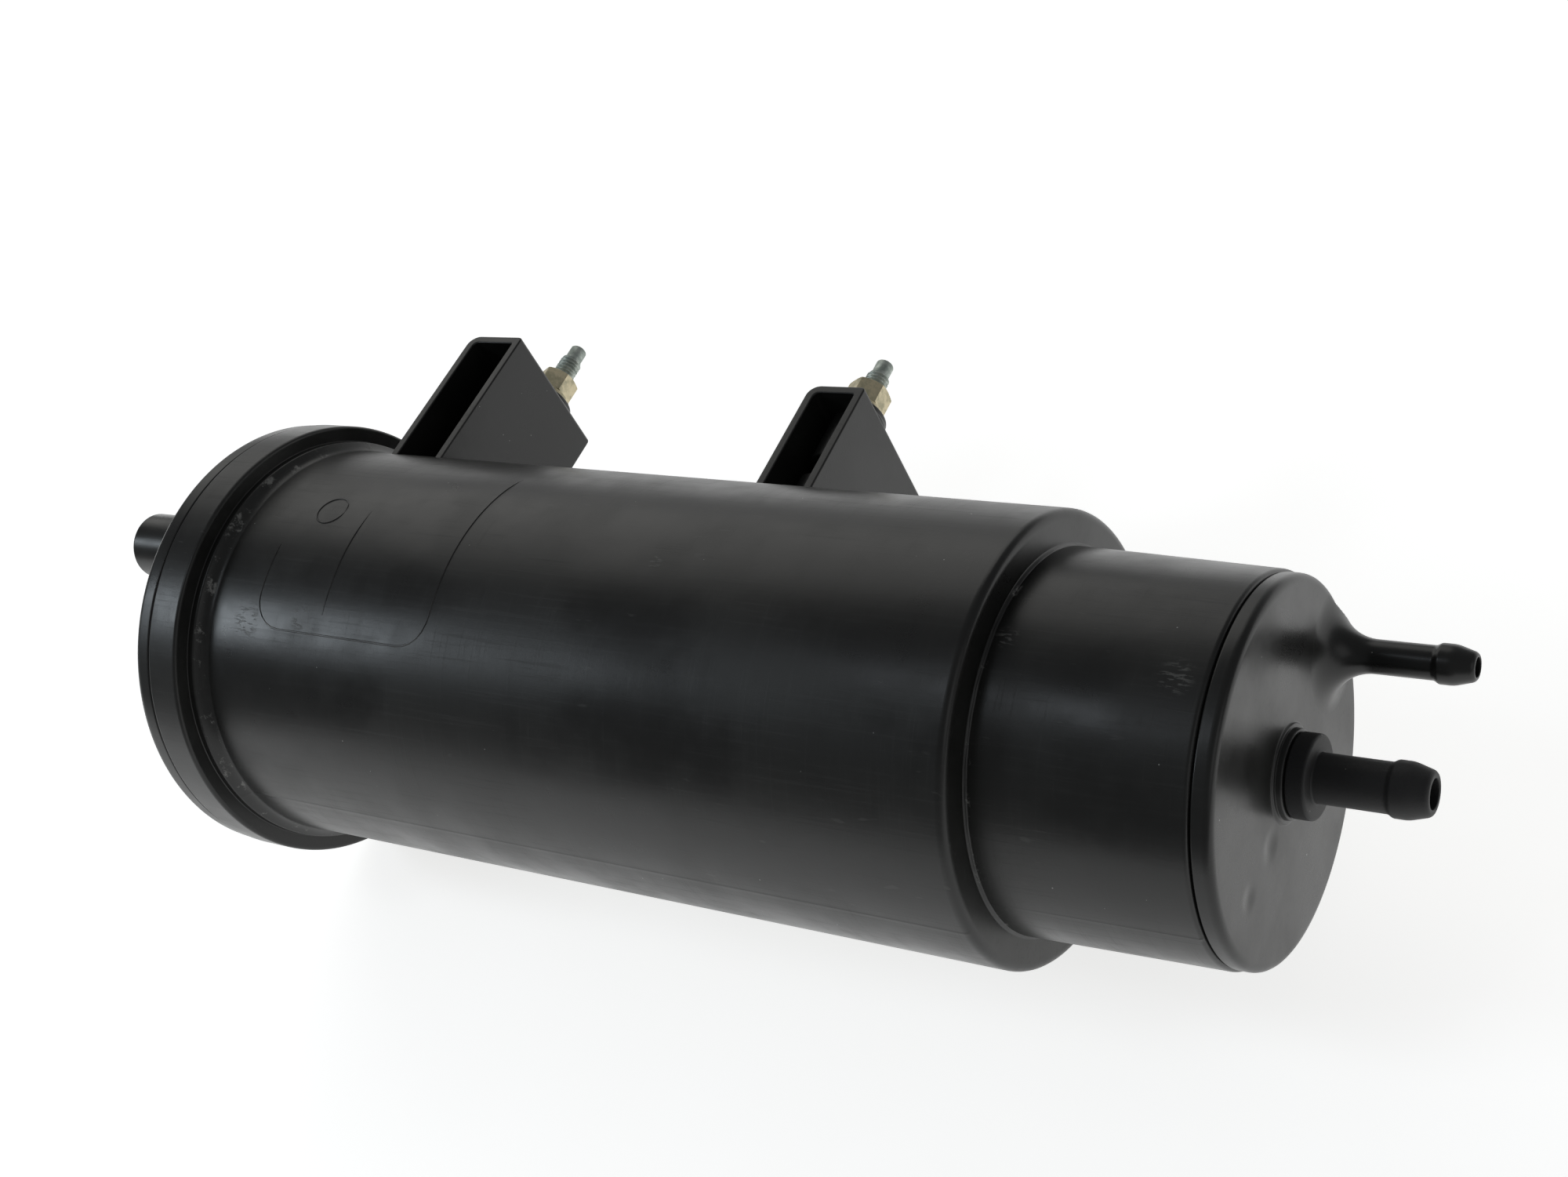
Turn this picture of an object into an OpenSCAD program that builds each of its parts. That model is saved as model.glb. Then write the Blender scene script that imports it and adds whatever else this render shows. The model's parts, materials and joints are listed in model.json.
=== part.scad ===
// Vapour filter canister of a petrol engine's fuel system.
// A round moulded housing with a stepped neck holds two beds of filter carbon between foam discs
// and grids. A sprung plate keeps the beds packed. Two hose barbs stand on the neck's cap, a vent
// tube on the flanged end's cap, and two bracket boxes carry the studs that hang the canister up.
//
// Inside the modules X runs along the canister's axis from the vent cap's rim to the barbs, Y runs
// from the axis towards the stud tips and Z is the way that the bracket pockets open. The finished
// part is moved so that its origin is the middle of the two studs, where the lock nuts end.

/* [Housing] */
// Outside diameter of the body beside the flange
body_d = 100; // [90:1:120]
// Length of the body, from the cap's weld seam to the shoulder
body_len = 220; // [180:1:280]
// Draft of the body's wall, in degrees
body_draft = 0.5; // [0.2:0.1:0.8]
// Outside diameter of the neck at the shoulder
neck_d = 81.2; // [76:0.2:86]
// Length of the neck, from the shoulder to its weld seam
neck_len = 45; // [38:1:60]
// Draft of the neck's wall, in degrees
neck_draft = 1.5; // [1:0.1:2.4]
// Thickness of the moulded walls
wall = 2.5; // [1.6:0.1:3.2]
// Rounding of the shoulder's edge
shoulder_round = 2.2; // [1:0.1:4]

/* [Flange and vent cap] */
// How far the flange stands out from the body
flange_rise = 6.4; // [4:0.1:9]
// Width of the flange
flange_w = 10.2; // [6:0.1:14]
// How far the collar beside the flange stands out from the body
collar_rise = 2.4; // [1:0.1:3.4]
// Width of that collar
collar_w = 1.8; // [1:0.1:4]
// Width of the vent cap's rim
cap_rim_w = 5; // [4:0.1:8]
// How much the cap's rim is smaller in radius than the flange
cap_rim_step = 0.3; // [0.2:0.1:2]
// Thickness of the vent cap's disc
cap_disc_t = 3; // [2:0.1:4]

/* [Vent tube] */
// Outside diameter of the vent tube
vent_d = 17; // [12:0.5:20]
// Bore of the vent tube
vent_bore = 13; // [8:0.5:16]
// Length of the vent tube beyond the cap's rim
vent_len = 31.5; // [20:0.5:60]
// Distance of the vent tube's axis in from the cap's rim
vent_inset = 23.1; // [20:0.1:28]

/* [Port cap] */
// Height of the port cap outside its weld seam
port_cap_h = 4.3; // [3.4:0.1:8]
// Thickness of the port cap's face
port_cap_t = 2.8; // [2:0.1:3.2]
// Rounding of the port cap's edge
port_cap_round = 2.6; // [1:0.1:3.2]
// Diameter of the boss round the purge fitting
boss_d = 18; // [16.5:0.1:20]

/* [Purge fitting] */
// Diameter of the purge barb's shaft
purge_d = 10; // [8:0.1:12]
// Length of the purge barb beyond its collar
purge_len = 22; // [16:0.5:35]
// Bore of the purge fitting
purge_bore = 6; // [3:0.1:7]
// Diameter of the purge fitting's collar
purge_collar_d = 17; // [15.5:0.1:20]
// Thickness of the purge fitting's collar
purge_collar_t = 4; // [2:0.1:6]
// Diameter of the spigot that plugs into the boss
spigot_d = 12.8; // [12:0.1:13.2]

/* [Tank barb] */
// Diameter of the tank barb's shaft
tank_d = 7; // [6:0.1:9]
// Length of the tank barb beyond the cap's face
tank_len = 28.7; // [22:0.1:40]
// Bore of the tank barb
tank_bore = 4; // [2:0.1:4.4]
// Distance of the tank barb's axis in from the port cap's rim
tank_inset = 8.9; // [8.5:0.1:16]
// Radius of the flare at the tank barb's foot
tank_flare = 9; // [4:0.5:9.5]
// How far the tank barb's drop tube reaches into the neck's bed
drop_len = 20; // [12:1:24]
// How much a barb's bead is larger in radius than its shaft
bead_rise = 0.6; // [0.3:0.05:1]

/* [Brackets and studs] */
// Height of the bracket's face above the body's surface
bracket_rise = 29.8; // [24:0.1:40]
// Length of each bracket box across the body
bracket_len = 40; // [34:0.5:46]
// Width of the front bracket box, the one beside the flange
front_w = 18; // [16:0.1:24]
// Width of the rear bracket box
rear_w = 16; // [15.6:0.1:24]
// How far the front bracket's pocket mouth stands ahead of the studs
front_reach = 26.5; // [14:0.5:28]
// How far the rear bracket's pocket mouth stands ahead of the studs
rear_reach = 12; // [11:0.5:26]
// Wall of the bracket boxes
bracket_wall = 2.3; // [1.6:0.1:3]
// Distance between the two studs
stud_spacing = 102; // [70:1:130]
// Distance from the vent cap's rim to the front stud
front_stud_x = 39; // [36:0.5:60]
// Distance of the studs from the plane through the canister's axis
stud_offset = 7.5; // [0:0.5:10]
// Thread diameter of the studs
stud_d = 6; // [5:0.5:6]
// Length of free thread beyond the front lock nut
front_thread = 7.2; // [5:0.1:20]
// Length of free thread beyond the rear lock nut
rear_thread = 4.9; // [4.7:0.1:20]
// Length of the stud's plain point
point_len = 4.5; // [2:0.1:8]
// Diameter of the stud's plain point
point_d = 4.6; // [3:0.1:4.8]
// Width across the flats of the lock nuts
nut_af = 10; // [9.5:0.5:11]
// Height of the lock nuts
nut_h = 6.5; // [5:0.1:8]
// Diameter of the washers under the lock nuts
washer_d = 12.4; // [12:0.1:13.4]
// Thickness of the washers
washer_t = 1.6; // [1:0.1:2]
// Height of the round pad under each washer
pad_h = 1.8; // [0.6:0.1:3]

/* [Filter stack] */
// Distance from the vent cap's weld seam to the sprung plate
spring_room = 21; // [18:1:30]
// Thickness of the sprung plate
plate_t = 3; // [2:0.1:4]
// Thickness of each foam disc
foam_t = 4.5; // [3:0.1:7]
// Thickness of each grid
grid_t = 2.4; // [2:0.1:3.5]
// Diameter of the holes in the plate and grids
hole_d = 4.4; // [3:0.1:5]
// Mean diameter of the bed spring
spring_d = 52; // [40:1:58]
// Wire diameter of the bed spring
wire_d = 2.2; // [1.5:0.1:3]
// Turns of the bed spring
spring_turns = 4; // [3:1:6]

/* [Fits] */
// Gap between pieces that are packed against each other
seat_gap = 0.2; // [0.1:0.05:0.3]
// Gap round the sprung plate
slide_gap = 0.5; // [0.3:0.05:0.8]
// Radial running clearance between the nut and the thread
thread_gap = 0.05; // [0.02:0.01:0.1]

/* [Hidden] */

// Colours of the finishes
black_plastic = [0.09, 0.09, 0.09];
cap_plastic = [0.12, 0.12, 0.12];
grey_zinc = [0.55, 0.57, 0.55];
yellow_zinc = [0.68, 0.6, 0.4];
spring_steel = [0.45, 0.45, 0.47];
grid_plastic = [0.2, 0.2, 0.2];
foam_grey = [0.35, 0.35, 0.36];
carbon_black = [0.05, 0.05, 0.05];

round_fn = 96;
edge = 0.4;                                   // small edge break on moulded rims
through = 1;                                  // how far a cut runs past a face

// Stations along the canister's axis
seam_x = cap_rim_w;
flange_x = seam_x + flange_w;
collar_x = flange_x + collar_w;
body_x = collar_x + collar_rise * 1.4;        // where the collar's fillet runs out
shoulder_x = seam_x + body_len;
neck_x = shoulder_x + neck_len;
face_x = neck_x + port_cap_h;
rear_stud_x = front_stud_x + stud_spacing;

// Radii of the moulded walls
body_r = body_d / 2;
flange_r = body_r + flange_rise;
cap_rim_r = flange_r - cap_rim_step;
neck_end_r = neck_r_at(neck_x);
port_cap_r = neck_end_r - 0.5;
tank_offset = port_cap_r - tank_inset;
vent_offset = cap_rim_r - vent_inset;
boss_r = boss_d / 2;

// Heights above the axis, towards the stud tips
bracket_y = body_r + bracket_rise;
pad_y = bracket_y + pad_h;
washer_y = pad_y + washer_t;
nut_y = washer_y + nut_h;
joint_gap = 0.05;                             // between washer, pad and nut

// Stud root, moulded into a boss
root_r = stud_d / 2 + 0.5;
root_gap = 0.05;
stud_boss_r = root_r + 1.6;
stud_boss_len = 14;
root_len = stud_boss_len + pad_h - 1;
pad_r = washer_d / 2 + 1.4;
post_gap = 5.8;                               // between the boss and the post under it
big_round = 3.2;                              // bracket corner nearer the flange
small_round = 1;                              // bracket corner on the other side
thread_relief = 0.2;                          // the thread inside the nut is drawn this much smaller
nut_gap = 0.2;                                // the relieved thread runs this far past the nut

// The filter stack, from the vent end to the ports
plate_x = seam_x + spring_room;
vent_foam_x = plate_x + plate_t + seat_gap;
main_bed_x = vent_foam_x + foam_t + seat_gap;
inner_shoulder_x = shoulder_x - wall;
divider_grid_x = inner_shoulder_x - seat_gap - grid_t;
divider_foam_x = divider_grid_x - seat_gap - foam_t;
neck_bed_x = inner_shoulder_x + seat_gap;
cap_inside_x = face_x - port_cap_t;
lip_len = 3;                                  // how far the port cap's lip reaches into the neck
lip_x = neck_x - lip_len;
port_grid_x = lip_x - seat_gap - grid_t;
port_foam_x = port_grid_x - seat_gap - foam_t;
spigot_lip_len = 4;                           // how far the vent cap's lip reaches into the body
lip_wall = 2.2;
seat_wall = 1.8;                              // ring round the spring's end
seat_h = 2.8;
cap_recess = 1.2;                             // depth of the vent cap's face inside its rim
land_w = 6.2;                                 // width of the rim's raised land
rib_w = 1.8;
rib_from = 12;                                // where the ribs start, from the axis
cap_floor_x = cap_disc_t + cap_recess;
weld_gap = 0.02;
plate_skirt = 6;
skirt_wall = 1.8;

// Purge fitting stations
boss_top_x = face_x + 1.8;
collar_start_x = boss_top_x + 0.15;
collar_end_x = collar_start_x + purge_collar_t;
boss_foot_x = cap_inside_x - 3;
port_lip_wall = 2;
spigot_r = spigot_d / 2;
spigot_bore_r = spigot_r + 0.1;
spigot_x = lip_x + 1.2;
o_ring_r = 0.72;
o_ring_x = cap_inside_x + 0.6;
hole_pitch = 7.6;

function body_r_at(x) = body_r - (x - body_x) * tan(body_draft);
function neck_r_at(x) = neck_d / 2 - (x - shoulder_x) * tan(neck_draft);
function arc(cx, cr, r, from, to, steps = 6) =
    [for (i = [0 : steps]) let (a = from + (to - from) * i / steps) [cx + r * cos(a), cr + r * sin(a)]];
// Points are [position along X, radius]
function swap(points) = [for (p = points) [p[1], p[0]]];

// A solid of revolution round the X axis
module turned(points, fn = round_fn) {
    rotate([0, 90, 0])
        mirror([1, 0, 0])
            rotate_extrude($fn = fn)
                polygon(swap(points));
}

module rod_x(r, from, to, fn = round_fn) {
    translate([from, 0, 0])
        rotate([0, 90, 0])
            cylinder(r = r, h = to - from, $fn = fn);
}

module rod_y(r, from, to, fn = round_fn) {
    translate([0, from, 0])
        rotate([-90, 0, 0])
            cylinder(r = r, h = to - from, $fn = fn);
}

// Moves the finished pieces to the part's own origin
module placed() {
    translate([-(front_stud_x + rear_stud_x) / 2, -nut_y, -stud_offset])
        children();
}

// Outline of the housing's outside, from the weld seam to the neck's end
module housing_outside() {
    fillet = body_x - collar_x;
    turned(concat(
        [[seam_x, 0], [seam_x, cap_rim_r - edge], [seam_x + edge, flange_r]],
        [[flange_x - edge, flange_r], [flange_x, flange_r - edge], [flange_x, body_r + collar_rise]],
        [[collar_x, body_r + collar_rise]],
        [for (i = [1 : 6]) let (a = 90 * i / 6)
            [collar_x + fillet * sin(a), body_r + collar_rise * (1 - sin(a)) * (1 - sin(a))]],
        arc(shoulder_x - shoulder_round, body_r_at(shoulder_x) - shoulder_round, shoulder_round, 80, 8),
        [[shoulder_x + 0.8, neck_r_at(shoulder_x) + 1.2], [shoulder_x + 1.4, neck_r_at(shoulder_x)]],
        arc(neck_x - 1, neck_end_r - 1, 1, 88, 0, 4),
        [[neck_x, 0]]
    ));
}

// Inside of the housing, with room for the caps' lips
module housing_inside() {
    turned([
        [seam_x - through, 0],
        [seam_x - through, body_r_at(seam_x) - wall],
        [inner_shoulder_x, body_r_at(inner_shoulder_x) - wall],
        [inner_shoulder_x, neck_r_at(inner_shoulder_x) - wall],
        [neck_x + through, neck_r_at(neck_x + through) - wall],
        [neck_x + through, 0]
    ]);
}

// Cross-section of a bracket box across the canister, rounded at the corner nearer the flange
module box_section(w, h, big, small) {
    translate([-w / 2, 0])
        square([w, h - big]);
    translate([-w / 2 + big, 0])
        square([w - big - small, h]);
    translate([w / 2 - small, 0])
        square([small, h - small]);
    translate([-w / 2 + big, h - big])
        circle(r = big, $fn = 32);
    translate([w / 2 - small, h - small])
        circle(r = small, $fn = 32);
}

// A block with that section, running from z0 to z1
module box_block(w, top, big, small, z0, z1) {
    foot = body_r * 0.55;
    translate([0, foot, z0])
        linear_extrude(height = z1 - z0)
            box_section(w, top - foot, big, small);
}

// One bracket box: an open pocket with the stud's boss in it and a round pad outside
module bracket(x, w, reach) {
    mouth = stud_offset + reach;
    translate([x, 0, 0]) {
        difference() {
            box_block(w, bracket_y, big_round, small_round, mouth - bracket_len, mouth);
            box_block(w - 2 * bracket_wall, bracket_y - bracket_wall, big_round - 1.2, small_round - 0.4,
                mouth - bracket_len + bracket_wall, mouth + through);
        }
        translate([0, 0, stud_offset]) {
            rod_y(stud_boss_r, bracket_y - bracket_wall - stud_boss_len, bracket_y - bracket_wall / 2);
            rod_y(stud_boss_r, body_r * 0.8, bracket_y - bracket_wall - stud_boss_len - post_gap);
            rod_y(pad_r, bracket_y - bracket_wall / 2, pad_y);
        }
    }
}

module stud_hole(x) {
    translate([x, 0, stud_offset])
        rod_y(root_r + root_gap, pad_y - root_len - root_gap, pad_y + through);
}

module housing() placed() color(black_plastic)
    difference() {
        union() {
            housing_outside();
            bracket(front_stud_x, front_w, front_reach);
            bracket(rear_stud_x, rear_w, rear_reach);
        }
        housing_inside();
        stud_hole(front_stud_x);
        stud_hole(rear_stud_x);
    }

// Cap of the flanged end: a ribbed disc with a lip, a seat for the spring and the vent tube
module vent_cap() placed() color(cap_plastic) {
    lip_r = body_r_at(seam_x + spigot_lip_len) - wall - seat_gap;
    seat_r = spring_d / 2 + wire_d / 2 + 0.6;
    rib_count = 8;
    difference() {
        union() {
            turned(concat(
                [[cap_recess, 0], [cap_recess, cap_rim_r - land_w - 0.8], [0, cap_rim_r - land_w]],
                arc(1.4, cap_rim_r - 1.4, 1.4, 180, 90),
                [[seam_x - edge, cap_rim_r], [seam_x - weld_gap, cap_rim_r - edge]],
                [[seam_x - weld_gap, lip_r], [seam_x + spigot_lip_len, lip_r]],
                [[seam_x + spigot_lip_len, lip_r - lip_wall], [cap_floor_x, lip_r - lip_wall]],
                [[cap_floor_x, seat_r + seat_wall], [cap_floor_x + seat_h, seat_r + seat_wall]],
                [[cap_floor_x + seat_h, seat_r], [cap_floor_x, seat_r], [cap_floor_x, 0]]
            ));
            for (i = [0 : rib_count - 1])
                rotate([(i + 0.5) * 360 / rib_count, 0, 0])
                    translate([0, rib_from, -rib_w / 2])
                        cube([cap_recess + 0.1, cap_rim_r - land_w - 0.8 - rib_from, rib_w]);
            translate([0, 0, vent_offset]) {
                turned(concat(
                    [[cap_disc_t, 0], [cap_disc_t, vent_d / 2 + 1.6]],
                    [[cap_recess, vent_d / 2 + 1.6], [-0.4, vent_d / 2 + 1.2], [-1.2, vent_d / 2]],
                    [[-vent_len + 0.8, vent_d / 2], [-vent_len, vent_d / 2 - 0.8], [-vent_len, 0]]
                ));
            }
        }
        translate([0, 0, vent_offset])
            rod_x(vent_bore / 2, -vent_len - through, cap_floor_x + seat_h + through);
    }
}

// A hose barb's outside: shaft from x0, then a bead that ends at x1
module barb(r, x0, x1) {
    bead_r = r + bead_rise;
    bead_x = x1 - 8;
    turned([
        [x0, 0], [x0, r], [bead_x, r], [bead_x + 1.2, bead_r],
        [bead_x + 3.8, bead_r], [x1 - 0.6, r - 0.55], [x1, r - 1], [x1, 0]
    ]);
}

// Cap of the neck: a rounded disc with a lip, the purge boss and the tank barb with its drop tube
module port_cap() placed() color(cap_plastic) {
    lip_r = neck_r_at(neck_x) - wall - seat_gap;
    cap_edge = arc(face_x - port_cap_round, port_cap_r - port_cap_round, port_cap_round, 0, 90);
    difference() {
        union() {
            turned(concat(
                [[cap_inside_x, 0], [face_x, 0]], cap_edge,
                [[neck_x + 0.5, port_cap_r], [neck_x + weld_gap, port_cap_r - 0.6]],
                [[neck_x + weld_gap, lip_r], [lip_x, lip_r]],
                [[lip_x, lip_r - port_lip_wall], [cap_inside_x, lip_r - port_lip_wall]]
            ));
            turned([
                [boss_foot_x, 0], [boss_foot_x, boss_r], [face_x, boss_r + 0.9],
                [face_x + 0.6, boss_r + 0.6], [face_x + 0.7, boss_r + 0.1], [boss_top_x - 0.3, boss_r],
                [boss_top_x, boss_r - 0.3], [boss_top_x, 0]
            ]);
            intersection() {
                translate([0, tank_offset, 0])
                    turned(concat(
                        [[cap_inside_x, 0], [cap_inside_x, tank_d / 2 + tank_flare]],
                        arc(face_x + tank_flare, tank_d / 2 + tank_flare, tank_flare, 180, 270, 10),
                        [[face_x + tank_flare, 0]]
                    ));
                turned([
                    [cap_inside_x - through, 0], [cap_inside_x - through, port_cap_r],
                    [face_x - port_cap_round, port_cap_r], [face_x + 2, port_cap_r - 0.9],
                    [face_x + tank_flare + through, port_cap_r - 2], [face_x + tank_flare + through, 0]
                ]);
            }
            translate([0, tank_offset, 0]) {
                barb(tank_d / 2, face_x, face_x + tank_len);
                rod_x(tank_d / 2, cap_inside_x - drop_len, face_x);
            }
        }
        rod_x(spigot_bore_r, boss_foot_x - through, boss_top_x + through);
        translate([0, tank_offset, 0])
            rod_x(tank_bore / 2, cap_inside_x - drop_len - through, face_x + tank_len + through);
    }
}

// The centre barb, a separate moulding that plugs into the port cap's boss
module purge_fitting() placed() color(black_plastic)
    difference() {
        union() {
            turned([
                [spigot_x, 0], [spigot_x, spigot_r - 0.8], [spigot_x + 0.8, spigot_r],
                [o_ring_x - 1, spigot_r], [o_ring_x - 1, spigot_bore_r - 2 * o_ring_r - 0.05],
                [o_ring_x + 1, spigot_bore_r - 2 * o_ring_r - 0.05], [o_ring_x + 1, spigot_r],
                [collar_start_x, spigot_r], [collar_start_x, 0]
            ]);
            turned([
                [collar_start_x, 0], [collar_start_x, purge_collar_d / 2 - 0.5],
                [collar_start_x + 0.4, purge_collar_d / 2], [collar_end_x - 0.5, purge_collar_d / 2],
                [collar_end_x, purge_collar_d / 2 - 0.6], [collar_end_x, 0]
            ]);
            barb(purge_d / 2, collar_end_x, collar_end_x + purge_len);
        }
        rod_x(purge_bore / 2, spigot_x - through, collar_end_x + purge_len + through);
    }

module purge_o_ring() placed() color("black")
    rotate([0, 90, 0])
        translate([0, 0, o_ring_x])
            rotate_extrude($fn = 64)
                translate([spigot_bore_r - o_ring_r - 0.02, 0])
                    circle(r = o_ring_r - 0.01, $fn = 24);

// A stud: knurled root in its boss, thread, then a plain point
module stud(x, thread) placed() color(grey_zinc)
    translate([x, 0, stud_offset]) {
        thread_y = nut_y + thread;
        tip_y = thread_y + point_len;
        rod_y(root_r, pad_y - root_len, pad_y);
        rod_y(stud_d / 2 - thread_relief, pad_y, nut_y + nut_gap);
        rod_y(stud_d / 2, nut_y + nut_gap, thread_y);
        rod_y(point_d / 2, thread_y, tip_y - 0.6);
        translate([0, tip_y - 0.6, 0])
            rotate([-90, 0, 0])
                cylinder(r1 = point_d / 2, r2 = point_d / 2 - 0.6, h = 0.6, $fn = round_fn);
    }

module washer(x) placed() color(yellow_zinc)
    translate([x, 0, stud_offset])
        difference() {
            rod_y(washer_d / 2, pad_y + joint_gap, washer_y);
            rod_y(stud_d / 2 + 0.25, pad_y, washer_y + through);
        }

// A lock nut: a hexagon with both ends turned to a chamfer
module nut(x) placed() color(yellow_zinc)
    translate([x, 0, stud_offset])
        difference() {
            intersection() {
                translate([0, washer_y + joint_gap, 0])
                    rotate([-90, 0, 0])
                        cylinder(d = nut_af / cos(30), h = nut_h - joint_gap, $fn = 6);
                translate([0, washer_y + joint_gap, 0])
                    rotate([-90, 0, 0])
                        rotate_extrude($fn = round_fn)
                            polygon([
                                [0, 0], [nut_af / 2, 0], [nut_af / 2 / cos(30) + 0.1, 0.7],
                                [nut_af / 2 / cos(30) + 0.1, nut_h - joint_gap - 0.7],
                                [nut_af / 2, nut_h - joint_gap], [0, nut_h - joint_gap]
                            ]);
            }
            rod_y(stud_d / 2 + thread_gap, washer_y - through, nut_y + through);
        }

// Rings of holes: six more holes in each ring than in the one inside it
module hole_field(rings, pitch, from, to) {
    rod_x(hole_d / 2, from, to, 24);
    for (ring = [1 : rings])
        for (i = [0 : 6 * ring - 1])
            rotate([i * 60 / ring, 0, 0])
                translate([0, ring * pitch, 0])
                    rod_x(hole_d / 2, from, to, 24);
}

// The spring that packs the beds, a swept wire with plain ends
module bed_spring() placed() color(spring_steel) {
    x0 = cap_disc_t + 1.2 + wire_d / 2 + 0.05;
    x1 = plate_x - wire_d / 2 - 0.05;
    steps = 20 * spring_turns;
    sides = 8;
    ring = [for (i = [0 : steps]) let (a = 360 * spring_turns * i / steps)
        for (k = [0 : sides - 1]) let (b = 360 * k / sides, r = (spring_d + wire_d * cos(b)) / 2)
            [x0 + (x1 - x0) * i / steps + wire_d / 2 * sin(b), r * cos(a), r * sin(a)]];
    sideface = [for (i = [0 : steps - 1]) for (k = [0 : sides - 1])
        [i * sides + k, i * sides + (k + 1) % sides, (i + 1) * sides + (k + 1) % sides, (i + 1) * sides + k]];
    first = [[for (k = [sides - 1 : -1 : 0]) k]];
    last = [[for (k = [0 : sides - 1]) steps * sides + k]];
    polyhedron(points = ring, faces = concat(sideface, first, last));
}

// The sprung plate: a pierced disc with a skirt that guides it in the body
module pressure_plate() placed() color(grid_plastic) {
    r = body_r_at(plate_x + plate_t) - wall - slide_gap;
    difference() {
        turned([
            [plate_x, 0], [plate_x, r - skirt_wall], [plate_x - plate_skirt, r - skirt_wall],
            [plate_x - plate_skirt, r], [plate_x + plate_t, r], [plate_x + plate_t, 0]
        ]);
        hole_field(5, hole_pitch, plate_x - through, plate_x + plate_t + through);
    }
}

// A round disc that follows the draft of the body's or the neck's bore
module body_disc(from, to, gap) {
    turned([
        [from, 0], [from, body_r_at(from) - wall - gap], [to, body_r_at(to) - wall - gap], [to, 0]
    ]);
}

module neck_disc(from, to, gap) {
    difference() {
        turned([
            [from, 0], [from, neck_r_at(from) - wall - gap], [to, neck_r_at(to) - wall - gap], [to, 0]
        ]);
        translate([0, tank_offset, 0])
            rod_x(tank_d / 2 + seat_gap, cap_inside_x - drop_len - seat_gap, cap_inside_x + through);
    }
}

module vent_foam() placed() color(foam_grey)
    body_disc(vent_foam_x - seat_gap, main_bed_x - seat_gap, slide_gap);

module main_carbon_bed() placed() color(carbon_black)
    body_disc(main_bed_x, divider_foam_x - seat_gap, seat_gap);

module divider_foam() placed() color(foam_grey)
    body_disc(divider_foam_x, divider_grid_x - seat_gap, seat_gap);

module divider_grid() placed() color(grid_plastic)
    difference() {
        body_disc(divider_grid_x, inner_shoulder_x - seat_gap, seat_gap);
        hole_field(4, hole_pitch, divider_grid_x - through, inner_shoulder_x + through);
    }

module neck_carbon_bed() placed() color(carbon_black)
    neck_disc(neck_bed_x, port_foam_x - seat_gap, seat_gap);

module port_foam() placed() color(foam_grey)
    neck_disc(port_foam_x, port_grid_x - seat_gap, seat_gap);

module port_grid() placed() color(grid_plastic)
    difference() {
        neck_disc(port_grid_x, lip_x - seat_gap, seat_gap);
        hole_field(3, 7, port_grid_x - through, lip_x + through);
    }

housing();
vent_cap();
port_cap();
purge_fitting();
purge_o_ring();
stud(front_stud_x, front_thread);  // front_stud
stud(rear_stud_x, rear_thread);  // rear_stud
washer(front_stud_x);  // front_washer
washer(rear_stud_x);  // rear_washer
nut(front_stud_x);  // front_nut
nut(rear_stud_x);  // rear_nut
bed_spring();
pressure_plate();
vent_foam();
main_carbon_bed();
divider_foam();
divider_grid();
neck_carbon_bed();
port_foam();
port_grid();
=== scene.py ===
"""Visual model of a fuel vapour filter canister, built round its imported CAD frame.

Makers work in millimetres in the canister's own axes: x runs along the canister from the vent cap's
rim to the hose barbs, y from the axis towards the stud tips and z the way the bracket pockets open.
Layout.place turns such a point into the row frame, in metres.
"""

import json
import logging
import math
from dataclasses import dataclass
from enum import Enum
from typing import Any, Callable, Optional, Sequence, Union

import bmesh
import bpy
from mathutils import Matrix, Vector, noise

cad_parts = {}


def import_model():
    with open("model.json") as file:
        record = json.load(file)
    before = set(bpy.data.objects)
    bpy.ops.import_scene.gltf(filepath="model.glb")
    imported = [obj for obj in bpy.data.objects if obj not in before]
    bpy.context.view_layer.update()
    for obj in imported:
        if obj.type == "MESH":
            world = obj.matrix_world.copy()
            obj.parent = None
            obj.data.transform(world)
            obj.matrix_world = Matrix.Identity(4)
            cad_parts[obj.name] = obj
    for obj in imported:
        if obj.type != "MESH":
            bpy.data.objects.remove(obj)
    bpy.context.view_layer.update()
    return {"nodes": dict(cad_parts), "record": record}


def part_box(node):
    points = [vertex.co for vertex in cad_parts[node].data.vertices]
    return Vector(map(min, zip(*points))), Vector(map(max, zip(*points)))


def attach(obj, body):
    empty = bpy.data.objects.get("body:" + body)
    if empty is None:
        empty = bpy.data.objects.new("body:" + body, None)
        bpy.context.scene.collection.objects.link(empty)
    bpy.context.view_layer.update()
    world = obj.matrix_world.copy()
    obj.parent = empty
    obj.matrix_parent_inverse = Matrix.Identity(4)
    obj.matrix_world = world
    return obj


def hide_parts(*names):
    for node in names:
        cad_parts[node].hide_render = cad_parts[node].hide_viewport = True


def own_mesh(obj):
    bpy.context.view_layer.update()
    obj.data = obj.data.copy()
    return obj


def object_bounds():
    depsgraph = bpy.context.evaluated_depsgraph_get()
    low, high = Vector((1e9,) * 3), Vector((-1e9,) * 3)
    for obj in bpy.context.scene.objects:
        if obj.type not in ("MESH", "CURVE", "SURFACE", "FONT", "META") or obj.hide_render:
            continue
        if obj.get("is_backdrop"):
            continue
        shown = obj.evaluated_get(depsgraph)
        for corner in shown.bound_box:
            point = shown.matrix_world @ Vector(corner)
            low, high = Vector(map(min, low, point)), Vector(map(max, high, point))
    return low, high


LOG = logging.getLogger("canister")
MM = 0.001
SMOOTH_ANGLE = 34.0  # degrees: sharper edges stay sharp
ROUNDING_SHARE = 0.49  # of an edge that one rounding may take up
MERGE_DISTANCE = 1e-5
DEGENERATE_LENGTH = 1e-6

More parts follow.
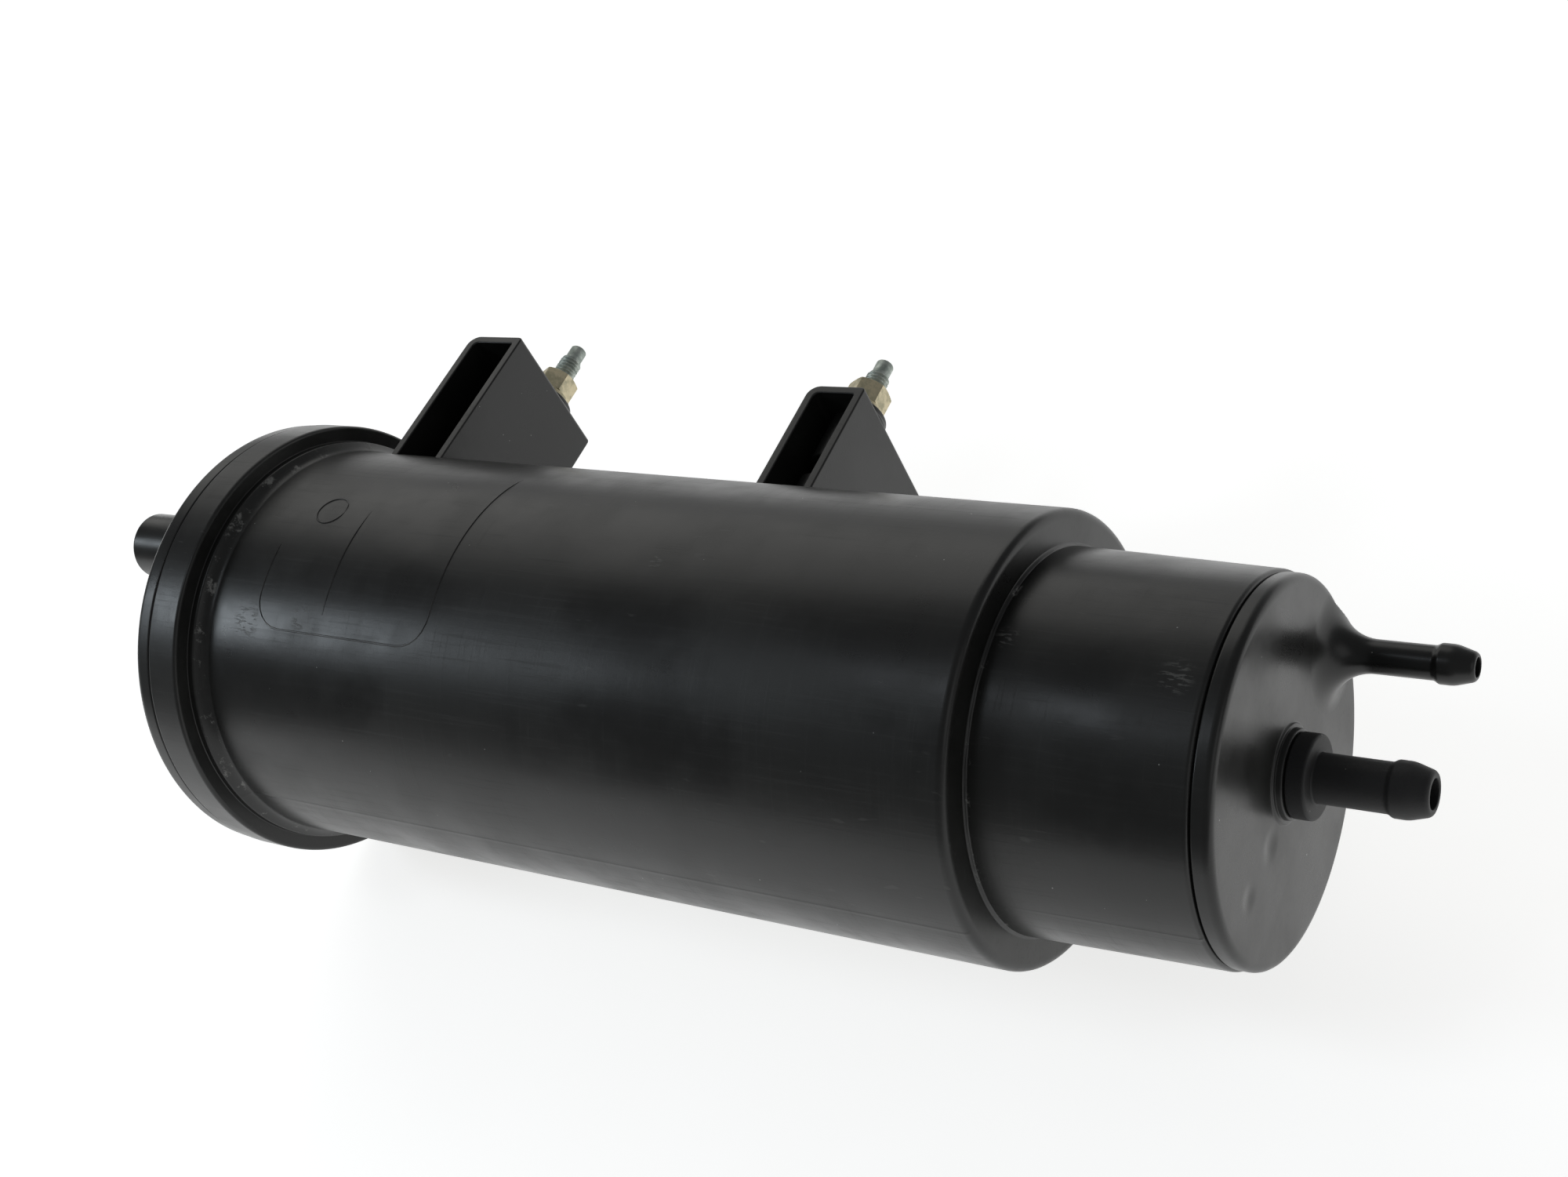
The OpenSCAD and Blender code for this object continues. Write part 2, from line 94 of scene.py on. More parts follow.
Point = tuple[float, float, float]
Pair = tuple[float, float]
Corner = tuple[float, float, float]
Colour = tuple[float, float, float]


class Body(Enum):
    """The rigid bodies that the pieces ride on."""

    CANISTER = "canister"
    FRONT_WASHER = "front_washer"
    FRONT_NUT = "front_nut"
    REAR_WASHER = "rear_washer"
    REAR_NUT = "rear_nut"
    PLATE = "pressure_plate"


# ---------------------------------------------------------------- layout


@dataclass(frozen=True)
class Layout:
    """Where the canister's own axes lie in the row frame.

    Attributes:
        origin: The axis at the vent cap's rim, in metres in the row frame.
        seam: Station of the weld seam between the vent cap and the housing.
        neck_end: Station of the weld seam between the neck and the port cap.
        studs: Stations of the front and rear studs along x.
        stud_z: Distance of the studs from the axis along z.
        tank_y: Distance of the tank barb from the axis along y.
        vent_z: Distance of the vent tube from the axis along z.
        nut_top: Height above the axis where the lock nuts end.
    """

    origin: Vector
    seam: float
    neck_end: float
    studs: Pair
    stud_z: float
    tank_y: float
    vent_z: float
    nut_top: float

    @classmethod
    def read(cls, record: dict[str, Any], rim_width: float = 5.0) -> "Layout":
        """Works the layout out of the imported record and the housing's box.

        Args:
            record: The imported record.
            rim_width: Width of the vent cap's rim, in millimetres.

        Returns:
            The layout.
        """
        mounts = {m["name"]: m for m in record["mounts"]}
        axis = mounts["purge_hose_barb"]["pos_m"]
        pair = mounts["stud_pair"]
        low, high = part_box("housing")
        origin = Vector((low.x - rim_width * MM, axis[1], axis[2]))
        half = pair["dims"]["spacing_x_mm"] / 2
        middle = (pair["pos_m"][0] - origin.x) / MM
        return cls(
            origin=origin,
            seam=rim_width,
            neck_end=(high.x - origin.x) / MM,
            studs=(middle - half, middle + half),
            stud_z=(pair["pos_m"][2] - origin.z) / MM,
            tank_y=(mounts["tank_hose_barb"]["pos_m"][1] - origin.y) / MM,
            vent_z=(mounts["vent_tube"]["pos_m"][2] - origin.z) / MM,
            nut_top=(pair["pos_m"][1] - origin.y) / MM,
        )

    def place(self, point: Sequence[float]) -> Vector:
        """Returns a point of the canister's own axes in the row frame, in metres."""
        return self.origin + Vector(point) * MM

    def station(self, x: float) -> float:
        """Returns the station of a place along x that is given in the row frame."""
        return (x - self.origin.x) / MM


# ---------------------------------------------------------------- mesh making


def rounded(corners: Sequence[Corner], steps: int = 4) -> list[Pair]:
    """Outline of a closed shape whose corners are rounded.

    Args:
        corners: Corners as (along, radius, rounding).
        steps: Pieces that each rounding is split into.

    Returns:
        The points of the outline.
    """
    out: list[Pair] = []
    count = len(corners)
    for i, (x, r, size) in enumerate(corners):
        if size <= 0:
            out.append((x, r))
            continue
        here = Vector((x, r))
        before = Vector(corners[i - 1][:2]) - here
        after = Vector(corners[(i + 1) % count][:2]) - here
        reach = min(size, ROUNDING_SHARE * before.length, ROUNDING_SHARE * after.length)
        start = here + before.normalized() * reach
        end = here + after.normalized() * reach
        for k in range(steps + 1):
            t = k / steps
            p = start * (1 - t) ** 2 + here * (2 * t * (1 - t)) + end * t * t
            out.append((p.x, p.y))
    return out


def full_turn(count: int, extra: Sequence[float] = ()) -> list[float]:
    """Angles of a full turn, in radians, with some extra ones put in order.

    Args:
        count: Number of even steps.
        extra: Further angles, from 0 to a full turn.

    Returns:
        The sorted angles.
    """
    even = [2 * math.pi * i / count for i in range(count)]
    spare = math.pi / count / 2
    kept = [a for a in even if all(abs(a - e) > spare for e in extra)]
    return sorted([*kept, *extra])


def quarter_turn(steps: int) -> list[float]:
    """Returns the angles from 0 to a right angle in even steps, in radians."""
    return [math.radians(90 * i / steps) for i in range(steps + 1)]


Shape = Callable[[float, float, float], float]


class Moulding:
    """A mesh under construction, in millimetres in the canister's own axes."""

    def __init__(self) -> None:
        """Starts an empty mesh."""
        self.bm = bmesh.new()

    def loft(
        self,
        rings: Sequence[Sequence[Sequence[float]]],
        closed: bool = True,
        joined: bool = False,
        caps: bool = False,
    ) -> None:
        """Joins rings of points with faces.

        Args:
            rings: Rings that all have the same number of points.
            closed: Whether each ring closes on itself.
            joined: Whether the last ring joins the first.
            caps: Whether the first and last rings are filled.
        """
        rows = [[self.bm.verts.new(p) for p in ring] for ring in rings]
        pairs = list(zip(rows, rows[1:]))
        if joined:
            pairs.append((rows[-1], rows[0]))
        width = len(rows[0])
        for a, b in pairs:
            for i in range(width if closed else width - 1):
                j = (i + 1) % width
                self.bm.faces.new((a[i], a[j], b[j], b[i]))
        if caps:
            self.bm.faces.new(rows[0])
            self.bm.faces.new(rows[-1])

    def turned(
        self,
        outline: Sequence[Pair],
        centre: Pair = (0.0, 0.0),
        angles: Optional[Sequence[float]] = None,
        along: str = "x",
        shape: Optional[Shape] = None,
    ) -> None:
        """Turns a closed outline round an axis.

        Args:
            outline: Points as (along, radius).
            centre: The axis's place: (y, z) for an axis along x, (x, z) for one along y.
            angles: The angles to turn through, in radians.
            along: Direction of the axis, "x" or "y".
            shape: Gives the radius from (along, radius, angle), for what isn't quite round.
        """
        turns = full_turn(96) if angles is None else angles
        rings = []
        for t, r in outline:
            ring = []
            for a in turns:
                size = shape(t, r, a) if shape else r
                u, v = size * math.cos(a), size * math.sin(a)
                if along == "x":
                    ring.append((t, centre[0] + u, centre[1] + v))
                else:
                    ring.append((centre[0] + u, t, centre[1] - v))
            rings.append(ring)
        self.loft(rings, joined=True)

    def block(self, low: Point, high: Point, turn: Matrix, edge: float) -> None:
        """Adds a turned block with chamfered edges.

        Args:
            low: Its lowest corner.
            high: Its highest corner.
            turn: Rotation given to the finished block.
            edge: Width of the chamfer.
        """
        (x0, y0, z0), (x1, y1, z1) = low, high
        rings = []
        for x, e in ((x0, edge), (x0 + edge, 0.0), (x1 - edge, 0.0), (x1, edge)):
            corner = max(e, edge * 0.5)
            rings.append(
                [
                    (x, y0 + e + corner, z0 + e), (x, y1 - e - corner, z0 + e),
                    (x, y1 - e, z0 + e + corner), (x, y1 - e, z1 - e - corner),
                    (x, y1 - e - corner, z1 - e), (x, y0 + e + corner, z1 - e),
                    (x, y0 + e, z1 - e - corner), (x, y0 + e, z0 + e + corner),
                ]
            )
        self.loft([[tuple(turn @ Vector(p)) for p in ring] for ring in rings], caps=True)

    def dent(self, middle: Point, size: float, depth: float) -> None:
        """Sinks the surface round a point towards the vent end.

        Args:
            middle: The dent's middle, on the surface.
            size: Its radius.
            depth: Its depth.
        """
        for vert in self.bm.verts:
            away = (vert.co - Vector(middle)).length / size
            if away < 1:
                vert.co.x -= depth * (1 - away**2) ** 2

    def mesh(self, name: str, layout: Layout, smooth: float) -> bpy.types.Mesh:
        """Ends the work on the mesh and places it in the row frame.

        Args:
            name: The mesh's name.
            layout: Gives its place.
            smooth: Edges sharper than this many degrees stay sharp.

        Returns:
            The mesh.
        """
        bmesh.ops.remove_doubles(self.bm, verts=self.bm.verts, dist=MERGE_DISTANCE)
        bmesh.ops.dissolve_degenerate(self.bm, edges=self.bm.edges, dist=DEGENERATE_LENGTH)
        bmesh.ops.recalc_face_normals(self.bm, faces=self.bm.faces)
        for vert in self.bm.verts:
            vert.co = layout.place(vert.co)
        mesh = bpy.data.meshes.new(name)
        self.bm.to_mesh(mesh)
        self.bm.free()
        mesh.shade_smooth()
        mesh.set_sharp_from_angle(angle=math.radians(smooth))
        return mesh


# ---------------------------------------------------------------- shader writing

Input = Union["Socket", float, Sequence[float]]


class Socket:
    """A node socket that takes part in Python expressions."""

    def __init__(self, finish: "Shader", out: bpy.types.NodeSocket) -> None:
        """Wraps an output socket of a shader."""
        self.finish = finish
        self.out = out

    def _math(self, kind: str, *values: Input) -> "Socket":
        """Returns the result of a Math node."""
        return self.finish.add("ShaderNodeMath", {"operation": kind}, dict(enumerate(values)))

    def __add__(self, other: Input) -> "Socket":
        """Returns the sum."""
        return self._math("ADD", self, other)

    def __radd__(self, other: Input) -> "Socket":
        """Returns the sum, reflected."""
        return self._math("ADD", other, self)

    def __sub__(self, other: Input) -> "Socket":
        """Returns the difference."""
        return self._math("SUBTRACT", self, other)

    def __rsub__(self, other: Input) -> "Socket":
        """Returns the difference, reflected."""
        return self._math("SUBTRACT", other, self)

    def __mul__(self, other: Input) -> "Socket":
        """Returns the product."""
        return self._math("MULTIPLY", self, other)

    def __rmul__(self, other: Input) -> "Socket":
        """Returns the product, reflected."""
        return self._math("MULTIPLY", other, self)

    def ramp(self, low: float, high: float) -> "Socket":
        """Returns a smooth step from 0 at low to 1 at high."""
        values = {"Value": self, "From Min": low, "From Max": high}
        return self.finish.add("ShaderNodeMapRange", {"interpolation_type": "SMOOTHSTEP"}, values)

    def band(self, low: float, high: float, soft: float) -> "Socket":
        """Returns 1 between low and high, fading to 0 over soft on either side."""
        return self.ramp(low - soft, low) * (1 - self.ramp(high, high + soft))


class Shader:
    """A material's node tree, with its surface coordinates ready to use."""

    def __init__(self, name: str) -> None:
        """Starts a material.

        Args:
            name: The material's name.
        """
        self.material = bpy.data.materials.new(name)
        self.material.use_nodes = True
        self.tree = self.material.node_tree
        self.tree.nodes.clear()
        self.place = self.add("ShaderNodeTexCoord", output="Object")

    def add(
        self,
        kind: str,
        settings: Optional[dict[str, Any]] = None,
        inputs: Optional[dict[Union[str, int], Input]] = None,
        output: Union[str, int] = 0,
    ) -> Socket:
        """Adds a node.

        Args:
            kind: The node's type.
            settings: Its settings, set before its sockets.
            inputs: Values or links of its sockets, by name or place.
            output: The socket to return, by name or place.

        Returns:
            The chosen output.
        """
        node = self.tree.nodes.new(kind)
        for key, value in (settings or {}).items():
            setattr(node, key, value)
        for key, value in (inputs or {}).items():
            target = node.inputs[key]
            if isinstance(value, Socket):
                self.tree.links.new(value.out, target)
            elif isinstance(value, (int, float)):
                target.default_value = value
            else:
                filled = (*value, 1.0) if target.type == "RGBA" and len(value) == 3 else value
                target.default_value = filled
        return Socket(self, node.outputs[output])

    def stretched(self, scale: Point) -> Socket:
        """Returns the surface coordinates stretched by a scale for each axis."""
        return self.add("ShaderNodeVectorMath", {"operation": "MULTIPLY"}, {0: self.place, 1: scale})

    def noise(
        self, scale: float, detail: float = 3.0, stretch: Optional[Point] = None, rough: float = 0.55
    ) -> Socket:
        """Returns a noise value.

        Args:
            scale: Features per metre.
            detail: Finer layers added.
            stretch: Scale for each axis, for streaks, or none.
            rough: Strength of the finer layers.

        Returns:
            A value round 0.5.
        """
        vector = self.stretched(stretch) if stretch else self.place
        values = {"Vector": vector, "Scale": scale, "Detail": detail, "Roughness": rough}
        return self.add("ShaderNodeTexNoise", {"noise_dimensions": "3D"}, values, "Fac")

    def cells(self, scale: float, feature: str = "F1", output: str = "Distance") -> Socket:
        """Returns an output of a cell pattern with so many cells per metre."""
        values = {"Vector": self.place, "Scale": scale}
        return self.add("ShaderNodeTexVoronoi", {"feature": feature}, values, output)

    def mix(self, share: Input, low: Input, high: Input) -> Socket:
        """Returns a colour between two, by share."""
        return self.add("ShaderNodeMix", {"data_type": "RGBA"}, {0: share, 6: low, 7: high}, 2)

    def bump(self, height: Socket, strength: float, depth: float) -> Socket:
        """Returns a normal bumped by a height, depth being the height of 1 in metres."""
        values = {"Height": height, "Strength": strength, "Distance": depth}
        return self.add("ShaderNodeBump", None, values, "Normal")

    def surface(self, inputs: dict[Union[str, int], Input]) -> bpy.types.Material:
        """Ends the material with a principled surface.

        Args:
            inputs: Values or links of the surface's sockets.

        Returns:
            The material.
        """
        shader = self.add("ShaderNodeBsdfPrincipled", None, inputs)
        output = self.tree.nodes.new("ShaderNodeOutputMaterial")
        self.tree.links.new(shader.out, output.inputs["Surface"])
        return self.material


# ---------------------------------------------------------------- finishes


@dataclass(frozen=True)
class MouldedPlastic:
    """Black moulded plastic with rubbed, scratched and dusty patches.

    Attributes:
        name: The material's name.
        dark: Colour of the clean plastic.
        worn: Colour where it is rubbed.
        gloss: Roughness of the clean plastic.
        dull: Roughness added where it is rubbed.
        grain: Strength of the fine grain.
        streaks: Strength of the rubbing marks.
        dust: Share of specks that show.
        scuff_bands: Bands along the canister, in metres in the row frame, that are scuffed white.
        rubs: Rubbed patches as (middle, radius), in metres in the row frame.
        scuffed: Colour of the scuffs and scratches.
        dusty: Colour of the dust specks.
        refraction: Index of refraction.
    """

    name: str
    dark: Colour = (0.0065, 0.0066, 0.0062)
    worn: Colour = (0.016, 0.0165, 0.015)
    gloss: float = 0.24
    dull: float = 0.2
    grain: float = 0.12
    streaks: float = 0.8
    dust: float = 0.1
    scuff_bands: tuple[Pair, ...] = ()
    rubs: tuple[tuple[Point, float], ...] = ()
    scuffed: Colour = (0.2, 0.2, 0.19)
    dusty: Colour = (0.42, 0.42, 0.4)
    refraction: float = 1.46

    def make(self) -> bpy.types.Material:
        """Returns the material."""
        sh = Shader(self.name)
        mottle = sh.noise(26, 4.0, rough=0.6).ramp(0.38, 0.62)
        cloud = sh.noise(120, 6.0, rough=0.7)
        along = sh.noise(1100, 5.0, (0.03, 1.0, 1.0), 0.65).ramp(0.5, 0.72)
        around = sh.noise(1700, 4.0, (1.0, 0.025, 0.025), 0.65).ramp(0.52, 0.74)
        rubbed = (along * 0.6 + around * 0.5) * (0.35 + mottle * 0.65) * self.streaks
        fine = sh.noise(5200, 2.0)
        specks = self._specks(sh)
        scuffs = self._scuffs(sh)
        base = sh.mix(mottle * 0.4 + rubbed * 0.7 + cloud * 0.2, self.dark, self.worn)
        marked = sh.mix(scuffs * 0.7, base, self.scuffed)
        colour = sh.mix(specks, marked, self.dusty)
        rough = self.gloss + self.dull * (mottle * 0.5 + rubbed * 0.7 + cloud * 0.4) + scuffs * 0.2
        wave = sh.noise(34, 2.0)
        height = fine * self.grain + cloud * 0.7 + rubbed * 0.35 + scuffs * 0.6 + wave * 3.0
        normal = sh.bump(height, 0.55, 0.00007)
        return sh.surface(
            {"Base Color": colour, "Roughness": rough, "Normal": normal, "IOR": self.refraction}
        )

    def _specks(self, sh: Shader) -> Socket:
        """Makes a mask of small dust specks.

        Args:
            sh: The shader that it is part of.

        Returns:
            The mask.
        """
        total: Union[Socket, float] = 0.0
        for scale, size in ((130, 0.035), (310, 0.06)):
            near = 1 - sh.cells(scale).ramp(size * 0.5, size)
            pick = sh.add("ShaderNodeSeparateColor", None, {0: sh.cells(scale, output="Color")})
            total = near * pick.ramp(1.0 - self.dust, 1.01 - self.dust) * 0.6 + total
        return total

    def _scuffs(self, sh: Shader) -> Union[Socket, float]:
        """Makes a mask of fine scratches, scuffed bands and rubbed patches.

        Args:
            sh: The shader that it is part of.

        Returns:
            The mask.
        """
        x = sh.add("ShaderNodeSeparateXYZ", None, {0: sh.place}, "X")
        torn = sh.noise(260, 6.0, rough=0.75).ramp(0.56, 0.66)
        scratch = sh.noise(700, 2.0, (0.2, 1.0, 0.5)).ramp(0.68, 0.75)
        scratch = scratch * sh.noise(18, 1.0).ramp(0.55, 0.62)
        total: Union[Socket, float] = scratch * 0.12
        for low, high in self.scuff_bands:
            total = total + x.band(low, high, 0.0004) * torn
        hair = sh.noise(1500, 3.0, (0.25, 1.0, 1.0)).ramp(0.53, 0.6)
        for middle, size in self.rubs:
            ends: dict[Union[str, int], Input] = {0: sh.place, 1: middle}
            away = sh.add("ShaderNodeVectorMath", {"operation": "DISTANCE"}, ends, "Value")
            total = total + (1 - away.ramp(size * 0.3, size)) * hair * 0.5
        return total


@dataclass(frozen=True)
class PlatedSteel:
    """Steel with a dull zinc coat that is patchy and slightly stained.

    Attributes:
        name: The material's name.
        bright: Colour of the clean coat.
        stained: Colour of the stained patches.
        rough: Roughness of the clean coat.
        bloom: Colour of the white bloom.
    """

    name: str
    bright: Colour
    stained: Colour
    rough: float
    bloom: Colour = (0.55, 0.57, 0.54)

    def make(self) -> bpy.types.Material:
        """Returns the material."""
        sh = Shader(self.name)
        patch = sh.noise(420, 4.0, rough=0.6).ramp(0.36, 0.66)
        fine = sh.noise(3000, 3.0)
        white = sh.noise(900, 5.0, rough=0.7).ramp(0.6, 0.74)
        colour = sh.mix(patch, self.bright, self.stained)
        bloomed = sh.mix(white * 0.5, colour, self.bloom)
        rough = self.rough + patch * 0.16 + white * 0.25 + fine * 0.08
        normal = sh.bump(fine * 0.6 + white * 0.5, 0.4, 0.00004)
        metal = 1 - white * 0.55
        return sh.surface(
            {"Base Color": bloomed, "Metallic": metal, "Roughness": rough, "Normal": normal}
        )


@dataclass(frozen=True)
class DrawnWire:
    """Bright drawn spring wire with lengthwise die marks.

    Attributes:
        name: The material's name.
        colour: Colour of the steel.
        hazed: Colour of its dull patches.
    """

    name: str
    colour: Colour = (0.33, 0.33, 0.35)
    hazed: Colour = (0.2, 0.19, 0.2)

    def make(self) -> bpy.types.Material:
        """Returns the material."""
        sh = Shader(self.name)
        marks = sh.noise(2600, 3.0, (1.0, 0.2, 0.2))
        haze = sh.noise(160, 3.0)
        colour = sh.mix(haze.ramp(0.4, 0.7) * 0.6, self.colour, self.hazed)
        normal = sh.bump(marks, 0.3, 0.00003)
        return sh.surface(
            {"Base Color": colour, "Metallic": 1.0, "Roughness": 0.26 + marks * 0.15, "Normal": normal}
        )


@dataclass(frozen=True)
class SealRubber:
    """Smooth black seal rubber with a slight bloom.

    Attributes:
        name: The material's name.
        colour: Colour of the rubber.
        bloomed: Colour under the bloom.
    """

    name: str
    colour: Colour = (0.012, 0.012, 0.012)
    bloomed: Colour = (0.04, 0.04, 0.042)

    def make(self) -> bpy.types.Material:
        """Returns the material."""
        sh = Shader(self.name)
        bloom = sh.noise(700, 4.0).ramp(0.4, 0.75)
        colour = sh.mix(bloom * 0.5, self.colour, self.bloomed)
        normal = sh.bump(sh.noise(4000, 2.0), 0.25, 0.00003)
        return sh.surface({"Base Color": colour, "Roughness": 0.5 + bloom * 0.2, "Normal": normal})


@dataclass(frozen=True)
class OpenFoam:
    """Open-cell filter foam, with painted shade inside its pores.

    Attributes:
        name: The material's name.
        pores: Pores per metre.
        strut: Colour of the foam's struts, between the pores.
        pore_shade: Painted shade inside a pore, where the hollow would be dark.
        faded: Colour of the faded patches.
    """

    name: str
    pores: float = 900.0
    strut: Colour = (0.24, 0.24, 0.25)
    pore_shade: Colour = (0.035, 0.035, 0.037)
    faded: Colour = (0.09, 0.088, 0.085)

    def make(self) -> bpy.types.Material:
        """Returns the material."""
        sh = Shader(self.name)
        inside = sh.cells(self.pores, "DISTANCE_TO_EDGE").ramp(0.02, 0.2)
        fine = sh.cells(self.pores * 2.3).ramp(0.1, 0.6)
        shade = sh.noise(60, 3.0)
        # painted shade: the middle of each pore is coloured dark, as if shaded, while the struts keep the
        # foam's grey
        pore = sh.mix(inside, self.strut, self.pore_shade)
        colour = sh.mix(shade * 0.35 + fine * 0.2, pore, self.faded)
        normal = sh.bump(1 - inside + fine * 0.3, 0.8, 0.0004)
        return sh.surface({"Base Color": colour, "Roughness": 0.86 + fine * 0.1, "Normal": normal})


@dataclass(frozen=True)
class PackedCarbon:
    """Packed pellets of filter carbon, with painted shade in the gaps between them.

    Attributes:
        name: The material's name.
        pellets: Pellets per metre.
        pellet_gap_shade: Painted shade between the pellets, where the gaps would be dark.
        carbon: Colour of the pellets.
        dusty: Colour of their dust.
    """

    name: str
    pellets: float = 480.0
    pellet_gap_shade: Colour = (0.003, 0.003, 0.003)
    carbon: Colour = (0.021, 0.021, 0.022)
    dusty: Colour = (0.05, 0.05, 0.052)

    def make(self) -> bpy.types.Material:
        """Returns the material."""
        sh = Shader(self.name)
        distance = sh.cells(self.pellets)
        edge = sh.cells(self.pellets, "DISTANCE_TO_EDGE").ramp(0.0, 0.12)
        dust = sh.noise(1500, 5.0).ramp(0.45, 0.7)
        # painted shade: the gaps between pellets are coloured darker than the carbon itself
        colour = sh.mix(edge, self.pellet_gap_shade, self.carbon)
        dusty = sh.mix(dust * 0.4, colour, self.dusty)
        normal = sh.bump((1 - distance) * edge, 0.9, 0.0007)
        return sh.surface({"Base Color": dusty, "Roughness": 0.72 + dust * 0.2, "Normal": normal})


@dataclass(frozen=True)
class PaleFloor:
    """Matte pale studio floor that is lit evenly.

    Attributes:
        name: The material's name.
        glow: Light that the floor gives by itself, which keeps the shadows soft.
        low: Colour of its darker patches.
        high: Colour of its lighter patches.
    """

    name: str
    glow: float = 0.74
    low: Colour = (0.8, 0.8, 0.79)
    high: Colour = (0.84, 0.84, 0.84)

    def make(self) -> bpy.types.Material:
        """Returns the material."""
        sh = Shader(self.name)
        fine = sh.noise(40, 3.0)
        colour = sh.mix(fine, self.low, self.high)
        return sh.surface(
            {
                "Base Color": colour,
                "Roughness": 0.85 + fine * 0.1,
                "Specular IOR Level": 0.2,
                "Emission Color": (1.0, 1.0, 0.99),
                "Emission Strength": self.glow,
            }
        )


@dataclass(frozen=True)
class Finishes:
    """The materials of every slot.

    Attributes:
        slots: Material by the record's slot name.
    """

    slots: dict[str, bpy.types.Material]

    @classmethod
    def make(cls, layout: Layout) -> "Finishes":
        """Makes the materials.

        Args:
            layout: Where the canister lies, for marks that belong to a place.

        Returns:
            The finishes.
        """
        start = layout.origin.x
        collar = (start + 0.0172, start + 0.0192)
        flash = (start + 0.2255, start + 0.2262)
        rim = (start + 0.0003, start + 0.0009)
        rubs = tuple(
            (tuple(layout.place(point)), size)
            for point, size in (
                ((264.0, -7.6, 38.8), 0.0045),
                ((228.5, -4.0, 40.3), 0.003),
                ((32.0, -26.0, 42.5), 0.006),
                ((146.0, -0.9, 48.9), 0.0022),
                ((50.0, -24.0, 43.6), 0.004),
            )
        )
        recipes = {
            "housing_plastic": MouldedPlastic(
                "moulded_housing_black", scuff_bands=(collar, flash), rubs=rubs
            ),
            "cap_plastic": MouldedPlastic("moulded_cap_black", gloss=0.22, streaks=0.5, scuff_bands=(rim,)),
            "barb_plastic": MouldedPlastic(
                "moulded_barb_black", worn=(0.022, 0.022, 0.023), gloss=0.46, grain=1.6, streaks=0.3
            ),
            "grid_plastic": MouldedPlastic(
                "moulded_grid_black", dark=(0.02, 0.02, 0.02), worn=(0.05, 0.05, 0.05), gloss=0.5, grain=0.6
            ),
            "grey_zinc": PlatedSteel("dull_grey_zinc", (0.5, 0.54, 0.5), (0.32, 0.36, 0.33), 0.42),
            "yellow_zinc": PlatedSteel("dull_yellow_zinc", (0.62, 0.55, 0.38), (0.44, 0.41, 0.29), 0.42),
            "spring_steel": DrawnWire("drawn_spring_wire"),
            "seal_rubber": SealRubber("black_seal_rubber"),
            "filter_foam": OpenFoam("grey_open_foam"),
            "filter_carbon": PackedCarbon("packed_carbon_pellets"),
        }
        return cls({slot: recipe.make() for slot, recipe in recipes.items()})

    def dress(self, piece: bpy.types.Object, slot: str) -> None:
        """Gives a piece the material of a slot."""
        piece.data.materials.clear()
        piece.data.materials.append(self.slots[slot])


# ---------------------------------------------------------------- sub-assemblies


@dataclass
class Assembly:
    """What every sub-assembly shares.

    Attributes:
        layout: Where the canister lies.
        finishes: The materials by slot.
    """

    layout: Layout
    finishes: Finishes

    def piece(
        self, mould: Moulding, name: str, slot: str, body: Body = Body.CANISTER,
        replaces: Sequence[str] = (), smooth: float = SMOOTH_ANGLE,
    ) -> bpy.types.Object:
        """Turns a mesh into a dressed piece of the canister.

        Args:
            mould: The mesh under construction.
            name: The piece's name.
            slot: The record's material slot.
            body: The body that it rides on.
            replaces: The CAD nodes that it stands for.
            smooth: Edges sharper than this many degrees stay sharp.

        Returns:
            The piece.
        """
        made = bpy.data.objects.new(name, mould.mesh(name, self.layout, smooth))
        bpy.context.scene.collection.objects.link(made)
        weighted = made.modifiers.new("even_shading", "WEIGHTED_NORMAL")
        weighted.keep_sharp = True
        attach(made, body.value)
        if replaces:
            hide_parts(*replaces)
        self.finishes.dress(made, slot)
        LOG.info("%s: %d faces, rides on %s", name, len(made.data.polygons), body.value)
        return made


